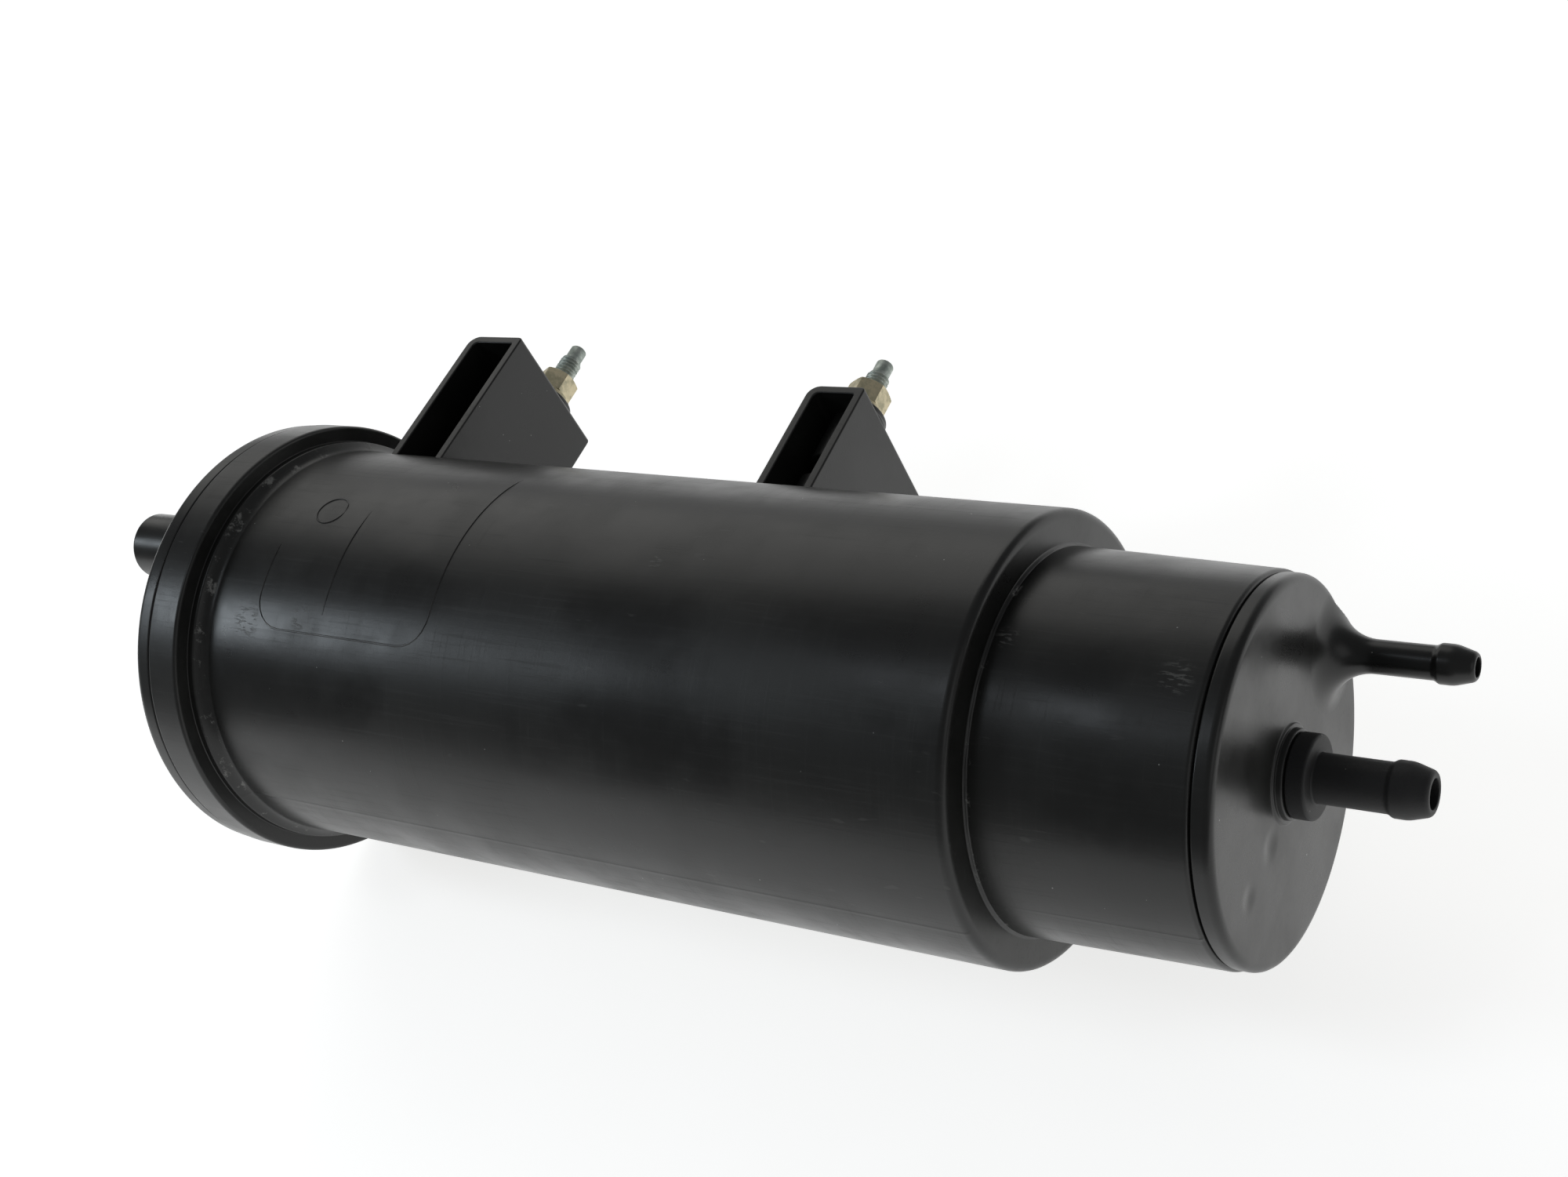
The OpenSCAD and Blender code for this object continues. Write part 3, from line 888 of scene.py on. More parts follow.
@dataclass
class Housing(Assembly):
    """The moulded body with its flange, stepped neck and both bracket boxes."""

    body_r: float = 50.0
    body_draft: float = math.radians(0.5)
    body_len: float = 220.0
    neck_r: float = 40.6
    neck_draft: float = math.radians(1.5)
    wall: float = 2.5
    flange_r: float = 56.4
    flange_end: float = 15.2
    collar_r: float = 52.4
    collar_end: float = 17.0
    fillet: float = 3.36
    shoulder_round: float = 2.1
    parting_height: float = 0.07
    parting_half: float = 0.24
    parting_angles: Pair = (math.radians(0.6), math.radians(178.4))

    @property
    def shoulder(self) -> float:
        """Station of the shoulder."""
        return self.layout.seam + self.body_len

    def body_r_at(self, x: float) -> float:
        """Returns the body's radius at a station."""
        return self.body_r - (x - self.collar_end - self.fillet) * math.tan(self.body_draft)

    def neck_r_at(self, x: float) -> float:
        """Returns the neck's radius at a station."""
        return self.neck_r - (x - self.shoulder) * math.tan(self.neck_draft)

    def surface_point(self, x: float, angle: float) -> Vector:
        """Returns a point of the body's surface, the angle being from the stud side to the pockets."""
        r = self.body_r_at(x)
        return Vector((x, r * math.cos(angle), r * math.sin(angle)))

    def build(self) -> None:
        """Builds the housing's pieces."""
        self.build_shell()
        self.build_neck_flash()
        self.build_insert_lines()
        for name, x, width, reach in (
            ("front_bracket", self.layout.studs[0], 18.0, 26.5),
            ("rear_bracket", self.layout.studs[1], 16.0, 12.0),
        ):
            Bracket(self.layout, self.finishes, self, name, x, width, reach).build()

    def build_shell(self) -> None:
        """Builds the turned shell with its parting lines."""
        seam, shoulder, end = self.layout.seam, self.shoulder, self.layout.neck_end
        step = shoulder - self.wall
        fillet = [
            (
                self.collar_end + self.fillet * math.sin(a),
                self.body_r + (self.collar_r - self.body_r) * (1 - math.sin(a)) ** 2,
                0.0,
            )
            for a in quarter_turn(10)[1:-1]
        ]
        corners = [
            (seam, self.body_r_at(seam) - self.wall, 0.2),
            (seam, self.flange_r - 1.2, 0.3),
            (seam + 0.55, self.flange_r, 0.5),
            (self.flange_end, self.flange_r, 1.0),
            (self.flange_end, self.collar_r, 0.3),
            (self.collar_end, self.collar_r, 0.4),
            *fillet,
            (self.collar_end + self.fillet, self.body_r, 0.4),
            (shoulder, self.body_r_at(shoulder), self.shoulder_round),
            (shoulder + 0.05, self.neck_r + 0.5, 0.2),
            (shoulder + 0.6, self.neck_r_at(shoulder + 0.6), 0.3),
            (end, self.neck_r_at(end), 1.0),
            (end, self.neck_r_at(end) - self.wall, 0.2),
            (step, self.neck_r_at(step) - self.wall, 0.4),
            (step, self.body_r_at(step) - self.wall, 1.0),
        ]
        round_once = 2 * math.pi
        spread = self.parting_half / self.body_r
        near = [a + s for a in self.parting_angles for s in (0.0, spread, round_once - spread)]
        turns = sorted(a % round_once for a in full_turn(288, near))
        mould = Moulding()
        mould.turned(rounded(corners, 6), angles=turns, shape=self.parting_shape)
        self.piece(mould, "housing_shell", "housing_plastic", replaces=["housing"])

    def parting_shape(self, x: float, r: float, angle: float) -> float:
        """Lifts the outside by the mould's parting line.

        Args:
            x: Station.
            r: Radius of the plain shell.
            angle: Angle round the canister.

        Returns:
            The radius with the line on it.
        """
        outside = (x > self.collar_end and r > self.body_r_at(x) - 0.5) or (
            x > self.shoulder + 2 and r > self.neck_r_at(x) - 0.5
        )
        on_line = any(abs(angle - a) < 1e-6 for a in self.parting_angles)
        return r + self.parting_height if outside and on_line else r

    def build_neck_flash(self) -> None:
        """Builds the thin ragged flash ring where the neck leaves the shoulder."""
        start = self.shoulder + 0.6

        def ragged(x: float, r: float, angle: float) -> float:
            """Returns the radius with a ragged edge."""
            rag = noise.noise(Vector((math.cos(angle) * 9, math.sin(angle) * 9, 2.0)))
            return r + (0.2 * rag if r > self.neck_r_at(start) else 0.0)

        corners = [
            (start, self.neck_r - 0.6, 0), (start - 0.05, self.neck_r + 0.28, 0.05),
            (start + 0.2, self.neck_r + 0.02, 0.05), (start + 0.3, self.neck_r - 0.6, 0),
        ]
        mould = Moulding()
        mould.turned(rounded(corners, 3), angles=full_turn(360), shape=ragged)
        self.piece(mould, "neck_flash", "housing_plastic")

    def build_insert_lines(self) -> None:
        """Builds the raised witness lines of the mould's exchangeable inserts."""
        turns = [2 * math.pi * i / 36 for i in range(37)]
        middle, angle, size = 44.5, math.radians(85), 4.2
        paths = {
            "outer": self.insert_path(35.0, 90.0, 122.5, 62.0, 8.0, left_top=98.0),
            "inner": self.insert_side(57.0, 84.0, 117.0, 1.0),
            "dial": [
                (middle + size * math.cos(a), angle + size * math.sin(a) / self.body_r) for a in turns
            ],
        }
        for name, path in paths.items():
            mould = Moulding()
            self.ridge(mould, path, half=0.24, height=0.2)
            self.piece(mould, name + "_insert_line", "housing_plastic")

    def insert_side(self, x: float, top: float, low: float, corner: float) -> list[Pair]:
        """Returns a straight side of a mould insert that ends at a corner.

        Args:
            x: Its station.
            top: Angle where it starts, in degrees.
            low: Angle where it ends.
            corner: Length of its last step, in millimetres.

        Returns:
            Points as (station, angle in radians).
        """
        arc = math.degrees(corner / self.body_r)
        angles = [top + (low - arc - top) * i / 12 for i in range(12)]
        return [(x, math.radians(a)) for a in (*angles, low)]

    def insert_path(
        self, x0: float, x1: float, low: float, top: float, corner: float, left_top: float
    ) -> list[Pair]:
        """Returns a path on the body round three sides of a mould insert.

        Args:
            x0: Station of its left side.
            x1: Station of its right side.
            low: Angle of its lower side, in degrees.
            top: Angle where its right side ends.
            corner: Rounding of the lower corners, in millimetres.
            left_top: Angle where its left side ends.

        Returns:
            Points as (station, angle in radians).
        """
        arc = math.degrees(corner / self.body_r)
        turn = quarter_turn(6)
        path = self.insert_side(x0, left_top, low, corner)[:-1]
        bends = [(x0 + corner * (1 - math.cos(t)), low - arc * (1 - math.sin(t))) for t in turn]
        bends += [(x1 - corner * (1 - math.sin(t)), low - arc * (1 - math.cos(t))) for t in turn]
        bends += [(x1, low - arc + (top - low + arc) * i / 24) for i in range(1, 25)]
        return path + [(x, math.radians(a)) for x, a in bends]

    def ridge(self, mould: Moulding, path: Sequence[Pair], half: float, height: float) -> None:
        """Adds a low ridge that follows a path on the body.

        Args:
            mould: The mesh it joins.
            path: Points as (station, angle in radians).
            half: Half its width.
            height: Its height, which fades out at both ends.
        """
        sunk, foot = -0.3, -0.02
        points = [self.surface_point(x, a) for x, a in path]
        rings = []
        for i, (x, angle) in enumerate(path):
            ahead = points[min(i + 1, len(points) - 1)] - points[max(i - 1, 0)]
            out = Vector((0, math.cos(angle), math.sin(angle)))
            side = out.cross(ahead.normalized())
            fade = min(1.0, 0.15 + min(i, len(path) - 1 - i) / 3)
            top = height * fade
            left = [(-half, sunk), (-half, foot), (-half * 0.35, top)]
            section = [*left, *((-across, up) for across, up in reversed(left))]
            rings.append([points[i] + side * across + out * up for across, up in section])
        mould.loft(rings, caps=True)


@dataclass
class Bracket(Assembly):
    """A bracket box: an open pocket with the stud's boss in it and a round pad outside."""

    housing: Housing
    name: str
    x: float
    width: float
    reach: float
    rise: float = 29.8
    length: float = 40.0
    wall: float = 2.3
    boss_r: float = 5.1
    hole_r: float = 3.55
    pad_r: float = 7.6
    pad_h: float = 1.8
    boss_len: float = 14.0
    boss_gap: float = 5.8
    edge: float = 0.7
    mouth_edge: float = 0.45
    inner_edge: float = 0.35
    outer_rounds: Pair = (3.2, 1.2)
    inner_rounds: Pair = (1.6, 0.7)
    foot_sinks: Pair = (1.8, 0.9)
    taper_step: float = 0.02
    spans: int = 10

    @property
    def top(self) -> float:
        """Height of the box's outer face above the axis."""
        return self.housing.body_r + self.rise

    def section(self, inset: float, z: float, inner: bool = False) -> list[Point]:
        """Returns the outline of the box across the canister.

        Args:
            inset: Distance in from the outside.
            z: Where the outline lies.
            inner: Whether it is the pocket's outline, which is rounded less and ends higher.

        Returns:
            The points.
        """
        big, small = self.inner_rounds if inner else self.outer_rounds
        foot = self.housing.body_r_at(self.x) - self.foot_sinks[inner]
        low = math.sqrt(foot**2 - z**2)
        left, right, high = -self.width / 2 + inset, self.width / 2 - inset, self.top - inset
        points = [(left, low + (high - big - low) * i / 4) for i in range(4)]
        for a in quarter_turn(8):
            points.append((left + big - big * math.cos(a), high - big + big * math.sin(a)))
        for a in quarter_turn(6):
            points.append((right - small + small * math.sin(a), high - small + small * math.cos(a)))
        points += [(right, low + (high - small - low) * i / 4) for i in (3, 2, 1, 0)]
        return [(self.x + px, py, z) for px, py in points]

    def build(self) -> None:
        """Builds the box, its pad and its boss."""
        mould = Moulding()
        self.add_box(mould)
        self.add_round_parts(mould)
        self.piece(mould, self.name + "_box", "housing_plastic", replaces=["housing"])

    def add_box(self, mould: Moulding) -> None:
        """Adds the open box.

        Args:
            mould: The mesh it joins.
        """
        mouth = self.layout.stud_z + self.reach
        back = mouth - self.length
        rings = []
        for a in quarter_turn(4):
            rings.append(self.section(self.edge * (1 - math.sin(a)), back + self.edge * (1 - math.cos(a))))
        for k in range(1, self.spans):
            rings.append(self.section(0, back + self.edge + (self.length - 2 * self.edge) * k / self.spans))
        for a in quarter_turn(4):
            z = mouth - self.mouth_edge * (1 - math.sin(a))
            rings.append(self.section(self.mouth_edge * (1 - math.cos(a)), z))
        for a in quarter_turn(3):
            inset = self.wall - self.inner_edge * (1 - math.sin(a))
            rings.append(self.section(inset, mouth - self.inner_edge * (1 - math.cos(a)), inner=True))
        for k in range(1, self.spans + 1):
            z = mouth - self.inner_edge - (self.length - self.wall - self.inner_edge) * k / self.spans
            rings.append(self.section(self.wall + self.taper_step * k, z, inner=True))
        mould.loft(rings, caps=True)

    def add_round_parts(self, mould: Moulding) -> None:
        """Adds the pad outside and the boss and post inside.

        Args:
            mould: The mesh it joins.
        """
        centre = (self.x, self.layout.stud_z)
        inside = self.top - self.wall
        boss_end = inside - self.boss_len
        post_top = boss_end - self.boss_gap
        base = min(self.pad_r + 0.5, self.width / 2 - 0.1)
        root = self.housing.body_r * 0.9
        pad = [
            (inside + 0.2, self.hole_r, 0), (inside + 0.2, base, 0), (self.top - 0.1, base, 0),
            (self.top + 0.4, self.pad_r, 0.4), (self.top + self.pad_h, self.pad_r, 0.55),
            (self.top + self.pad_h, self.hole_r, 0.2),
        ]
        boss = [
            (boss_end, self.hole_r, 0.3), (boss_end, self.boss_r, 0.6),
            (inside + 0.6, self.boss_r + 0.1, 0), (inside + 0.6, self.hole_r, 0),
        ]
        post = [
            (root, 0.4, 0), (root, self.boss_r, 0),
            (post_top, self.boss_r - 0.05, 0.6), (post_top, 0.4, 0.2),
        ]
        for outline in (pad, boss, post):
            mould.turned(rounded(outline, 5), centre, full_turn(72), along="y")


@dataclass
class VentCap(Assembly):
    """The ribbed cap of the flanged end, with its vent tube and the spring's seat."""

    rim_r: float = 56.1
    lip_r: float = 47.38
    lip_len: float = 4.0
    disc_t: float = 3.0
    recess: float = 1.2
    seat_r: float = 27.7
    tube_r: float = 8.5
    bore_r: float = 6.5
    tube_len: float = 31.5
    lip_wall: float = 2.2
    seat_wall: float = 1.8
    seat_h: float = 2.8
    foot_rise: float = 1.7
    ribs: int = 8
    rib_half: float = 0.9
    rib_from: float = 12.0
    rib_span: Pair = (0.15, 1.5)
    rib_edge: float = 0.25

    @property
    def inside(self) -> float:
        """Station of the disc's inner face."""
        return self.disc_t + self.recess

    def build(self) -> None:
        """Builds the cap."""
        mould = Moulding()
        seam, inside = self.layout.seam, self.inside
        lip_end, lip_inner = seam + self.lip_len, self.lip_r - self.lip_wall
        seat_top, seat_outer = inside + self.seat_h, self.seat_r + self.seat_wall
        disc = [
            (self.recess, 0.0, 0), (self.recess, self.rim_r - 7.0, 0.5), (0.0, self.rim_r - 6.2, 0.4),
            (0.0, self.rim_r, 1.9), (seam - 0.05, self.rim_r, 0.45), (seam - 0.05, self.lip_r, 0),
            (lip_end, self.lip_r, 0.4), (lip_end, lip_inner, 0.3),
            (inside, lip_inner, 0.6), (inside, seat_outer, 0.4),
            (seat_top, seat_outer, 0.4), (seat_top, self.seat_r, 0.4),
            (inside, self.seat_r, 0.4), (inside, 0.0, 0),
        ]
        mould.turned(rounded(disc, 5), angles=full_turn(240))
        self.add_ribs(mould)
        self.add_tube(mould)
        self.piece(mould, "vent_cap_moulding", "cap_plastic", replaces=["vent_cap"])

    def add_ribs(self, mould: Moulding) -> None:
        """Adds the radial ribs of the cap's face.

        Args:
            mould: The mesh it joins.
        """
        for i in range(self.ribs):
            turn = Matrix.Rotation((i + 0.5) * 2 * math.pi / self.ribs, 3, "X")
            low = (self.rib_span[0], self.rib_from, -self.rib_half)
            high = (self.rib_span[1], self.rim_r - 6.6, self.rib_half)
            mould.block(low, high, turn, self.rib_edge)

    def add_tube(self, mould: Moulding) -> None:
        """Adds the vent tube and its foot.

        Args:
            mould: The mesh it joins.
        """
        inner_end, foot_r = self.inside + 0.6, self.tube_r + self.foot_rise
        tube = [
            (inner_end, self.bore_r, 0.3), (-self.tube_len, self.bore_r, 0.5),
            (-self.tube_len, self.tube_r, 0.8), (-1.8, self.tube_r, 1.6), (0.3, foot_r, 0.8),
            (inner_end, foot_r, 0.3),
        ]
        mould.turned(rounded(tube, 6), (0.0, self.layout.vent_z), full_turn(128))


@dataclass(frozen=True)
class HoseBarb:
    """The outside of a hose barb: a shaft and a bead.

    Attributes:
        shaft_r: Radius of the shaft.
        bead_rise: How far the bead stands proud of the shaft.
        bead_len: Length from the bead's foot to the tip.
    """

    shaft_r: float
    bead_rise: float = 0.6
    bead_len: float = 8.0

    def corners(self, tip: float) -> list[Corner]:
        """Works out the corners from the bead's foot to the tip's outer edge.

        Args:
            tip: Station of the tip.

        Returns:
            The corners.
        """
        bead_r, bead = self.shaft_r + self.bead_rise, tip - self.bead_len
        return [
            (bead, self.shaft_r, 0.35), (bead + 0.9, bead_r - 0.06, 0.5), (bead + 1.2, bead_r, 0.2),
            (bead + 3.8, bead_r, 0.9), (tip - 0.5, self.shaft_r - 0.5, 0.5), (tip, self.shaft_r - 1.0, 0.3),
        ]


@dataclass
class PortCap(Assembly):
    """The neck's cap with the boss of the purge fitting and the tank barb."""

    rim_r: float = 38.9
    lip_r: float = 36.7
    lip_len: float = 3.0
    height: float = 4.3
    face_t: float = 2.8
    boss_r: float = 9.0
    boss_h: float = 1.8
    socket_r: float = 6.5
    tank_r: float = 3.5
    tank_bore: float = 2.0
    tank_len: float = 28.7
    drop_len: float = 20.0
    flare: float = 9.0
    rounding: float = 3.0
    lip_wall: float = 2.0
    socket_len: float = 3.0

    @property
    def face(self) -> float:
        """Station of the cap's outer face."""
        return self.layout.neck_end + self.height

    def build(self) -> None:
        """Builds the cap."""
        mould = Moulding()
        self.add_disc(mould)
        self.add_flare(mould)
        face = self.face
        tip, drop = face + self.tank_len, face - self.face_t - self.drop_len
        barb = [
            (drop, self.tank_bore, 0), (drop, self.tank_r, 0), (face + self.flare, self.tank_r, 0),
            *HoseBarb(self.tank_r).corners(tip), (tip, self.tank_bore, 0.25),
        ]
        mould.turned(rounded(barb, 5), (self.layout.tank_y, 0.0), full_turn(64))
        mould.dent((face, -14.8, -3.2), 4.0, 0.3)
        mould.dent((face, -27.7, -1.8), 3.4, 0.25)
        self.piece(mould, "port_cap_moulding", "cap_plastic", replaces=["port_cap"])

    def add_disc(self, mould: Moulding) -> None:
        """Adds the disc with its lip and boss.

        Args:
            mould: The mesh it joins.
        """
        end, face = self.layout.neck_end, self.face
        inside, top = face - self.face_t, face + self.boss_h
        socket_end, lip_end = inside - self.socket_len, end - self.lip_len
        lip_inner = self.lip_r - self.lip_wall
        corners = [
            (socket_end, self.socket_r, 0.3), (socket_end, self.boss_r, 0.3),
            (inside, self.boss_r + 0.1, 0.5), (inside, lip_inner, 0.4),
            (lip_end, lip_inner, 0.3), (lip_end, self.lip_r, 0.3),
            (end + 0.05, self.lip_r, 0), (end + 0.05, self.rim_r - 0.45, 0.2),
            (end + 0.4, self.rim_r, 0.4), (face, self.rim_r, self.rounding),
            *((face, 35.0 - 1.05 * i, 0.0) for i in range(23)),
            (face, self.boss_r + 1.1, 0.3), (face + 0.45, self.boss_r + 0.75, 0.2),
            (face + 0.5, self.boss_r + 0.1, 0.15), (top, self.boss_r, 0.4), (top, self.socket_r, 0.3),
        ]
        mould.turned(rounded(corners, 6), angles=full_turn(240))

    def add_flare(self, mould: Moulding) -> None:
        """Adds the trumpet that blends the tank barb into the cap, cut off at the cap's edge.

        Args:
            mould: The mesh it joins.
        """
        face, wide = self.face, self.tank_r + self.flare
        base, top = face - self.face_t + 0.4, face + self.flare + 1
        outline = [(base, self.tank_bore), (base, wide)]
        outline += [
            (face + self.flare * (1 - math.cos(a)), wide - self.flare * math.sin(a))
            for a in quarter_turn(24)
        ]
        outline += [(top, self.tank_r), (top, self.tank_bore)]
        rings = []
        for x, r in outline:
            ring = []
            for a in full_turn(128):
                y, z = self.layout.tank_y + r * math.cos(a), r * math.sin(a)
                reach, limit = math.hypot(y, z), self.edge_r_at(x)
                if reach > limit:
                    y, z = y * limit / reach, z * limit / reach
                ring.append((x, y, z))
            rings.append(ring)
        mould.loft(rings, joined=True)

    def edge_r_at(self, x: float) -> float:
        """Works out how far from the axis the trumpet may reach, which follows the cap's edge.

        Args:
            x: Station.

        Returns:
            The radius.
        """
        face = self.face
        if x <= face - self.rounding:
            return self.rim_r
        if x <= face:
            drop = (x - face + self.rounding) / self.rounding
            return self.rim_r - self.rounding * (1 - math.sqrt(max(0.0, 1 - drop**2))) * 0.45 - 0.15
        rise = min(1.0, (x - face) / self.flare)
        return self.rim_r - 1.5 - 1.2 * rise


@dataclass
class PurgeFitting(Assembly):
    """The centre barb, plugged into the port cap's boss with an O-ring."""

    face: float
    shaft_r: float = 5.0
    bore_r: float = 3.0
    collar_r: float = 8.5
    collar_t: float = 4.0
    barb_len: float = 22.0
    spigot_r: float = 6.4
    groove_r: float = 5.0
    ring_wire: float = 0.71
    collar_gap: float = 1.95
    groove_in: float = 2.2
    groove_half: float = 1.0
    foot_in: float = 1.8
    squeeze: float = 0.08

    def build(self) -> None:
        """Builds the fitting and its O-ring."""
        face = self.face
        start = face + self.collar_gap
        end = start + self.collar_t
        tip, middle = end + self.barb_len, face - self.groove_in
        low, high = middle - self.groove_half, middle + self.groove_half
        foot = self.layout.neck_end - self.foot_in
        corners = [
            (foot, self.bore_r, 0.2), (foot, self.spigot_r - 0.8, 0), (foot + 0.8, self.spigot_r, 0.3),
            (low, self.spigot_r, 0.1), (low, self.groove_r, 0.15),
            (high, self.groove_r, 0.15), (high, self.spigot_r, 0.1),
            (start, self.spigot_r, 0), (start, self.collar_r - 0.25, 0),
            (start + 0.25, self.collar_r, 0.25), (end, self.collar_r, 0.7), (end, self.shaft_r, 0.45),
            *HoseBarb(self.shaft_r).corners(tip), (tip, self.bore_r, 0.3),
        ]
        mould = Moulding()
        mould.turned(rounded(corners, 5), angles=full_turn(112))
        self.piece(mould, "purge_fitting_moulding", "barb_plastic", replaces=["purge_fitting"])
        ring_r = self.spigot_r + self.squeeze - self.ring_wire
        wire = [(self.ring_wire * math.cos(a), self.ring_wire * math.sin(a)) for a in full_turn(20)]
        seal = Moulding()
        seal.turned([(middle + x, ring_r + r) for x, r in wire])
        self.piece(seal, "purge_seal_ring", "seal_rubber", replaces=["purge_o_ring"])


@dataclass
class StudFastener(Assembly):
    """One stud with its washer and lock nut."""

    name: str
    x: float
    free_thread: float
    washer_body: Body
    nut_body: Body
    major_r: float = 3.0
    depth: float = 0.5
    pitch: float = 1.0
    root_r: float = 3.5
    root_len: float = 14.8
    point_len: float = 4.5
    point_r: float = 2.3
    nut_af: float = 10.0
    nut_h: float = 6.5
    washer_r: float = 6.2
    washer_t: float = 1.6
    groove_width: float = 0.42
    knurls: int = 24
    knurl_depth: float = 0.12
    chamfer: float = 0.9
    countersink: float = 0.7

    def build(self) -> None:
        """Builds the stud, the washer and the nut."""
        self.build_stud()
        self.build_washer()
        self.build_nut()

    @property
    def centre(self) -> Pair:
        """The stud's axis, as (x, z)."""
        return (self.x, self.layout.stud_z)

    def build_stud(self) -> None:
        """Builds the stud with a real thread."""
        nut_top = self.layout.nut_top
        pad = nut_top - self.nut_h - self.washer_t
        thread_end = nut_top + self.free_thread
        tip = thread_end + self.point_len
        start = pad - self.root_len
        root = [
            (start, 0.0), (start, self.root_r - 0.3), (start + 0.3, self.root_r),
            (pad - 0.25, self.root_r), (pad, self.root_r - 0.25),
        ]
        steps = int((thread_end - pad) / self.pitch * 10)
        thread = [(pad + (thread_end - pad) * i / steps, self.major_r) for i in range(steps + 1)]
        point = [
            (thread_end + 0.15, self.point_r), (tip - 0.6, self.point_r), (tip - 0.35, self.point_r - 0.15),
            (tip, self.point_r - 0.6), (tip, 0.0),
        ]
        mould = Moulding()

        def shape(y: float, r: float, angle: float) -> float:
            """Cuts the thread's groove and the root's knurling.

            Args:
                y: Height above the axis.
                r: Radius of the plain stud.
                angle: Angle round the stud.

            Returns:
                The radius.
            """
            if r == self.major_r:
                phase = (y / self.pitch - angle / (2 * math.pi)) % 1.0
                groove = max(0.0, 1.0 - abs(phase - 0.5) / self.groove_width) ** 0.9
                fade = min(1.0, max(0.0, (y - pad) / 0.4), max(0.0, (thread_end - y) / 0.7) * 0.8 + 0.2)
                lead_in = 0.35 * max(0.0, 1 - (thread_end - y) / 0.6)
                return r - self.depth * groove * fade - lead_in
            if y < pad - 1 and abs(r - self.root_r) < 0.01:
                return r - self.knurl_depth * (0.5 + 0.5 * math.cos(self.knurls * angle))
            return r

        mould.turned([*root, *thread, *point], self.centre, full_turn(48), "y", shape)
        stands_for = [self.name + "_stud"]
        self.piece(mould, self.name + "_threaded_stud", "grey_zinc", replaces=stands_for, smooth=40)

    def build_washer(self) -> None:
        """Builds the washer."""
        top = self.layout.nut_top - self.nut_h
        low = top - self.washer_t + 0.05
        hole = self.major_r + 0.25
        corners = [(low, hole, 0.15), (low, self.washer_r, 0.3), (top, self.washer_r, 0.45), (top, hole, 0.2)]
        mould = Moulding()
        mould.turned(rounded(corners, 4), self.centre, full_turn(72), "y")
        stands_for = [self.name + "_washer"]
        self.piece(mould, self.name + "_flat_washer", "yellow_zinc", self.washer_body, stands_for)

    def build_nut(self) -> None:
        """Builds the hexagon lock nut, with a chamfer at both ends and a countersunk bore."""
        top = self.layout.nut_top
        low = top - self.nut_h + 0.05
        half, corner = self.nut_af / 2, self.nut_af / 2 / math.cos(math.pi / 6)
        bore = self.major_r + 0.06
        bevel = [self.chamfer * (i / 8) for i in range(9)]
        levels = [*(low + t for t in bevel), low + 1.2, (low + top) / 2, top - 1.2]
        levels += [top - t for t in reversed(bevel)]

        def shape(y: float, r: float, angle: float) -> float:
            """Shapes the outside into a chamfered hexagon and leaves the bore round.

            Args:
                y: Height above the axis.
                r: Radius of the outline.
                angle: Angle round the stud.

            Returns:
                The radius.
            """
            if r <= half - 1:
                return r
            turn = (angle + math.pi / 6) % (math.pi / 3) - math.pi / 6
            flat = half / math.cos(turn)
            slope = min(y - low, top - y)
            return min(flat, half - 0.25 + slope * 1.9, corner - 0.05)

        outline: list[Pair] = [(y, half) for y in levels]
        mouth = bore + self.countersink
        outline += [(top, mouth), (top - 0.6, bore), (low + 0.6, bore), (low, mouth)]
        mould = Moulding()
        mould.turned(outline, self.centre, full_turn(120), "y", shape)
        stands_for = [self.name + "_nut"]
        self.piece(mould, self.name + "_lock_nut", "yellow_zinc", self.nut_body, stands_for, 24)


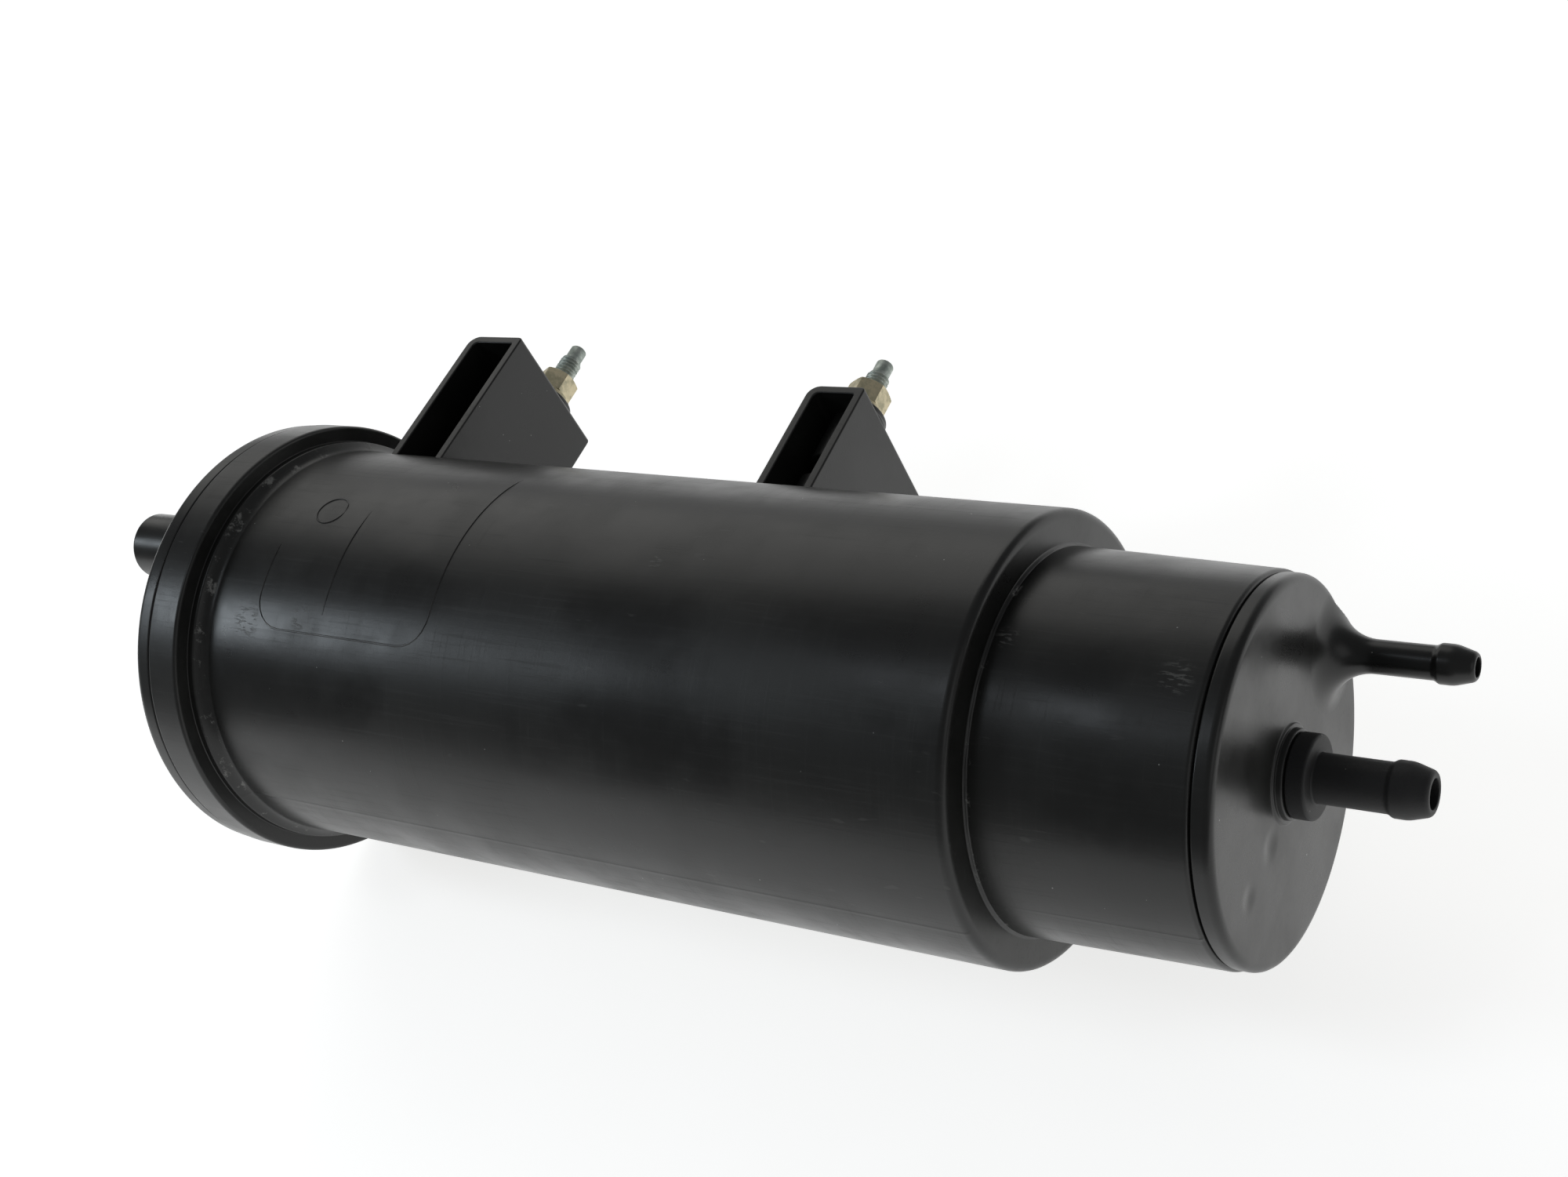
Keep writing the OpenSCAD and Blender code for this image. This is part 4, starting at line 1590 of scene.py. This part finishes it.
@dataclass
class FilterStack(Assembly):
    """The pieces packed inside: spring, foams and carbon beds."""

    spring_r: float = 26.0
    wire_r: float = 1.1
    spring_turns: float = 4.0
    plate_travel: float = 5.0
    foam_dips: float = 0.12
    pellet_dips: float = 0.5

    def build(self) -> None:
        """Builds and dresses the inner pieces."""
        self.build_spring()
        self.build_foam("vent", Body.PLATE)
        self.build_foam("divider", Body.CANISTER)
        self.build_foam("port", Body.CANISTER)
        self.build_bed("main")
        self.build_bed("neck")

    def stations(self, low: Vector, high: Vector) -> Pair:
        """Returns the stations of both ends of a box."""
        return self.layout.station(low.x), self.layout.station(high.x)

    def build_spring(self) -> None:
        """Builds the bed spring."""
        low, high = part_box("bed_spring")
        start, end = self.stations(low, high)
        x0, x1 = start + self.wire_r, end - self.wire_r
        wire = [(self.wire_r * math.cos(b), self.wire_r * math.sin(b)) for b in full_turn(14)]
        steps = int(64 * self.spring_turns)
        rings = []
        for i in range(steps + 1):
            share = i / steps
            a = 2 * math.pi * self.spring_turns * share
            x = x0 + (x1 - x0) * share
            out = Vector((0.0, math.cos(a), math.sin(a)))
            rings.append([out * (self.spring_r + u) + Vector((x + v, 0, 0)) for u, v in wire])
        mould = Moulding()
        mould.loft(rings, caps=True)
        coil = self.piece(mould, "bed_coil_spring", "spring_steel", replaces=["bed_spring"])
        length = end - start
        keep = (length - self.plate_travel) / length
        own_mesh(coil)

    def build_foam(self, place: str, body: Body) -> None:
        """Builds a foam disc, which rides on the given body."""
        disc = self.build_disc(place + "_foam", place + "_foam_disc", "filter_foam", body, self.foam_dips)

    def build_bed(self, place: str) -> None:
        """Builds a carbon bed."""
        node, name = place + "_carbon_bed", place + "_pellet_bed"
        self.build_disc(node, name, "filter_carbon", Body.CANISTER, self.pellet_dips)

    def build_disc(self, node: str, name: str, slot: str, body: Body, dips: float) -> bpy.types.Object:
        """Builds a packed disc with slightly uneven faces.

        Args:
            node: The CAD node that it stands for.
            name: The piece's name.
            slot: The record's material slot.
            body: The body that it rides on.
            dips: Depth of the dips in its faces.

        Returns:
            The piece.
        """
        low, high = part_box(node)
        x0, x1 = self.stations(low, high)
        r = (high.y - low.y) / MM / 2
        rows = 18
        faces = [(x0, 1, r * (i / rows)) for i in range(rows + 1)]
        faces += [(x1, -1, r * (1 - i / rows)) for i in range(rows + 1)]
        rings = []
        for x, side, size in faces:
            ring = []
            for a in full_turn(96):
                y, z = size * math.cos(a), size * math.sin(a)
                cell = noise.noise(Vector((x * 0.3, y * 0.9, z * 0.9))) * 0.5 + 0.5
                sink = dips * cell if size < r - 0.1 else 0.0
                ring.append((x + side * sink, y, z))
            rings.append(ring)
        mould = Moulding()
        mould.loft(rings)
        return self.piece(mould, name, slot, body, [node])


# ---------------------------------------------------------------- studio


@dataclass(frozen=True)
class Softbox:
    """A soft studio light.

    Attributes:
        name: Its name.
        towards: Direction from the canister to the light.
        distance: Its distance, in metres.
        size: Its width and height, in metres.
        radiance: Its brightness.
        colour: Its colour.
    """

    name: str
    towards: Point
    distance: float
    size: Pair
    radiance: float
    colour: Colour = (1.0, 1.0, 1.0)

    def hang(self, middle: Vector) -> None:
        """Hangs the light so that it faces a point.

        Args:
            middle: The point.
        """
        light = bpy.data.lights.new(self.name, "AREA")
        light.shape = "RECTANGLE"
        light.size, light.size_y = self.size
        light.energy = self.radiance * math.pi * self.size[0] * self.size[1]
        light.color = self.colour
        lamp = bpy.data.objects.new(self.name, light)
        direction = Vector(self.towards).normalized()
        lamp.location = middle + direction * self.distance
        lamp.rotation_mode = "QUATERNION"
        lamp.rotation_quaternion = direction.to_track_quat("Z", "Y")
        bpy.context.scene.collection.objects.link(lamp)


@dataclass(frozen=True)
class Studio:
    """The floor, the lights and the camera, in metres in the row frame."""

    eye: Point = (0.31654, -0.29268, 0.31183)
    look: Point = (-0.55807, 0.49118, -0.66880)
    up: Point = (-0.0862, 0.76728, 0.63553)
    lens: float = 45.95
    sensor: float = 36.0
    floor_half: float = 4.0
    ambient: float = 0.18
    lights: tuple[Softbox, ...] = (
        Softbox("sky_softbox", (-0.5, 0.66, 0.52), 1.5, (1.5, 1.1), 0.88, (1.0, 0.99, 0.95)),
        Softbox("flange_window", (-0.97, -0.44, 0.72), 1.29, (0.3, 0.26), 8.0, (0.84, 0.93, 1.0)),
        Softbox("neck_window", (-0.37, -0.33, 1.08), 1.2, (0.26, 0.24), 3.0, (0.86, 0.93, 1.0)),
        Softbox("side_softbox", (0.85, -0.25, 0.5), 1.5, (0.9, 0.7), 0.5),
    )

    def build(self) -> None:
        """Builds the studio."""
        low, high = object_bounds()
        self.build_camera()
        self.build_floor(low.z)
        for light in self.lights:
            light.hang((low + high) / 2)
        world = bpy.data.worlds.new("studio_air")
        world.use_nodes = True
        background = world.node_tree.nodes["Background"]
        background.inputs["Color"].default_value = (0.95, 0.97, 1.0, 1.0)
        background.inputs["Strength"].default_value = self.ambient
        bpy.context.scene.world = world
        bpy.context.scene.view_settings.view_transform = "Standard"

    def build_camera(self) -> None:
        """Builds the camera."""
        data = bpy.data.cameras.new("studio_camera")
        data.lens, data.sensor_width = self.lens, self.sensor
        data.clip_start, data.clip_end = 0.01, 30.0
        camera = bpy.data.objects.new("studio_camera", data)
        back = -Vector(self.look).normalized()
        right = Vector(self.up).cross(back).normalized()
        above = back.cross(right)
        turn = Matrix((right, above, back)).transposed()
        camera.matrix_world = Matrix.Translation(Vector(self.eye)) @ turn.to_4x4()
        bpy.context.scene.collection.objects.link(camera)
        bpy.context.scene.camera = camera

    def build_floor(self, height: float) -> None:
        """Builds the floor.

        Args:
            height: Height of the floor.
        """
        half = self.floor_half
        bm = bmesh.new()
        corners = ((-half, -half), (half, -half), (half, half), (-half, half))
        bm.faces.new([bm.verts.new((x, y, height)) for x, y in corners])
        mesh = bpy.data.meshes.new("studio_floor")
        bm.to_mesh(mesh)
        bm.free()
        floor = bpy.data.objects.new("studio_floor", mesh)
        floor.data.materials.append(PaleFloor("pale_floor").make())
        bpy.context.scene.collection.objects.link(floor)
        floor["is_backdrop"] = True


# ---------------------------------------------------------------- the whole canister


def dress_frame(frame: dict[str, Any], finishes: Finishes) -> None:
    """Gives the CAD nodes that stay in view their own finishes.

    Args:
        frame: The loaded frame.
        finishes: The materials by slot.
    """
    slots = {row["node"]: row["material_slot"] for row in frame["record"]["subparts"]}
    for name, node in frame["nodes"].items():
        finishes.dress(node, slots[name])


def main() -> None:
    """Builds the whole scene."""
    logging.basicConfig(level=logging.INFO, format="%(name)s: %(message)s")
    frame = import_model()
    layout = Layout.read(frame["record"])
    Studio().build()
    finishes = Finishes.make(layout)
    dress_frame(frame, finishes)
    Housing(layout, finishes).build()
    VentCap(layout, finishes).build()
    cap = PortCap(layout, finishes)
    cap.build()
    PurgeFitting(layout, finishes, cap.face).build()
    front, rear = layout.studs
    StudFastener(layout, finishes, "front", front, 7.2, Body.FRONT_WASHER, Body.FRONT_NUT).build()
    StudFastener(layout, finishes, "rear", rear, 4.9, Body.REAR_WASHER, Body.REAR_NUT).build()
    FilterStack(layout, finishes).build()
    LOG.info("the canister is built")


if __name__ == "__main__":
    main()
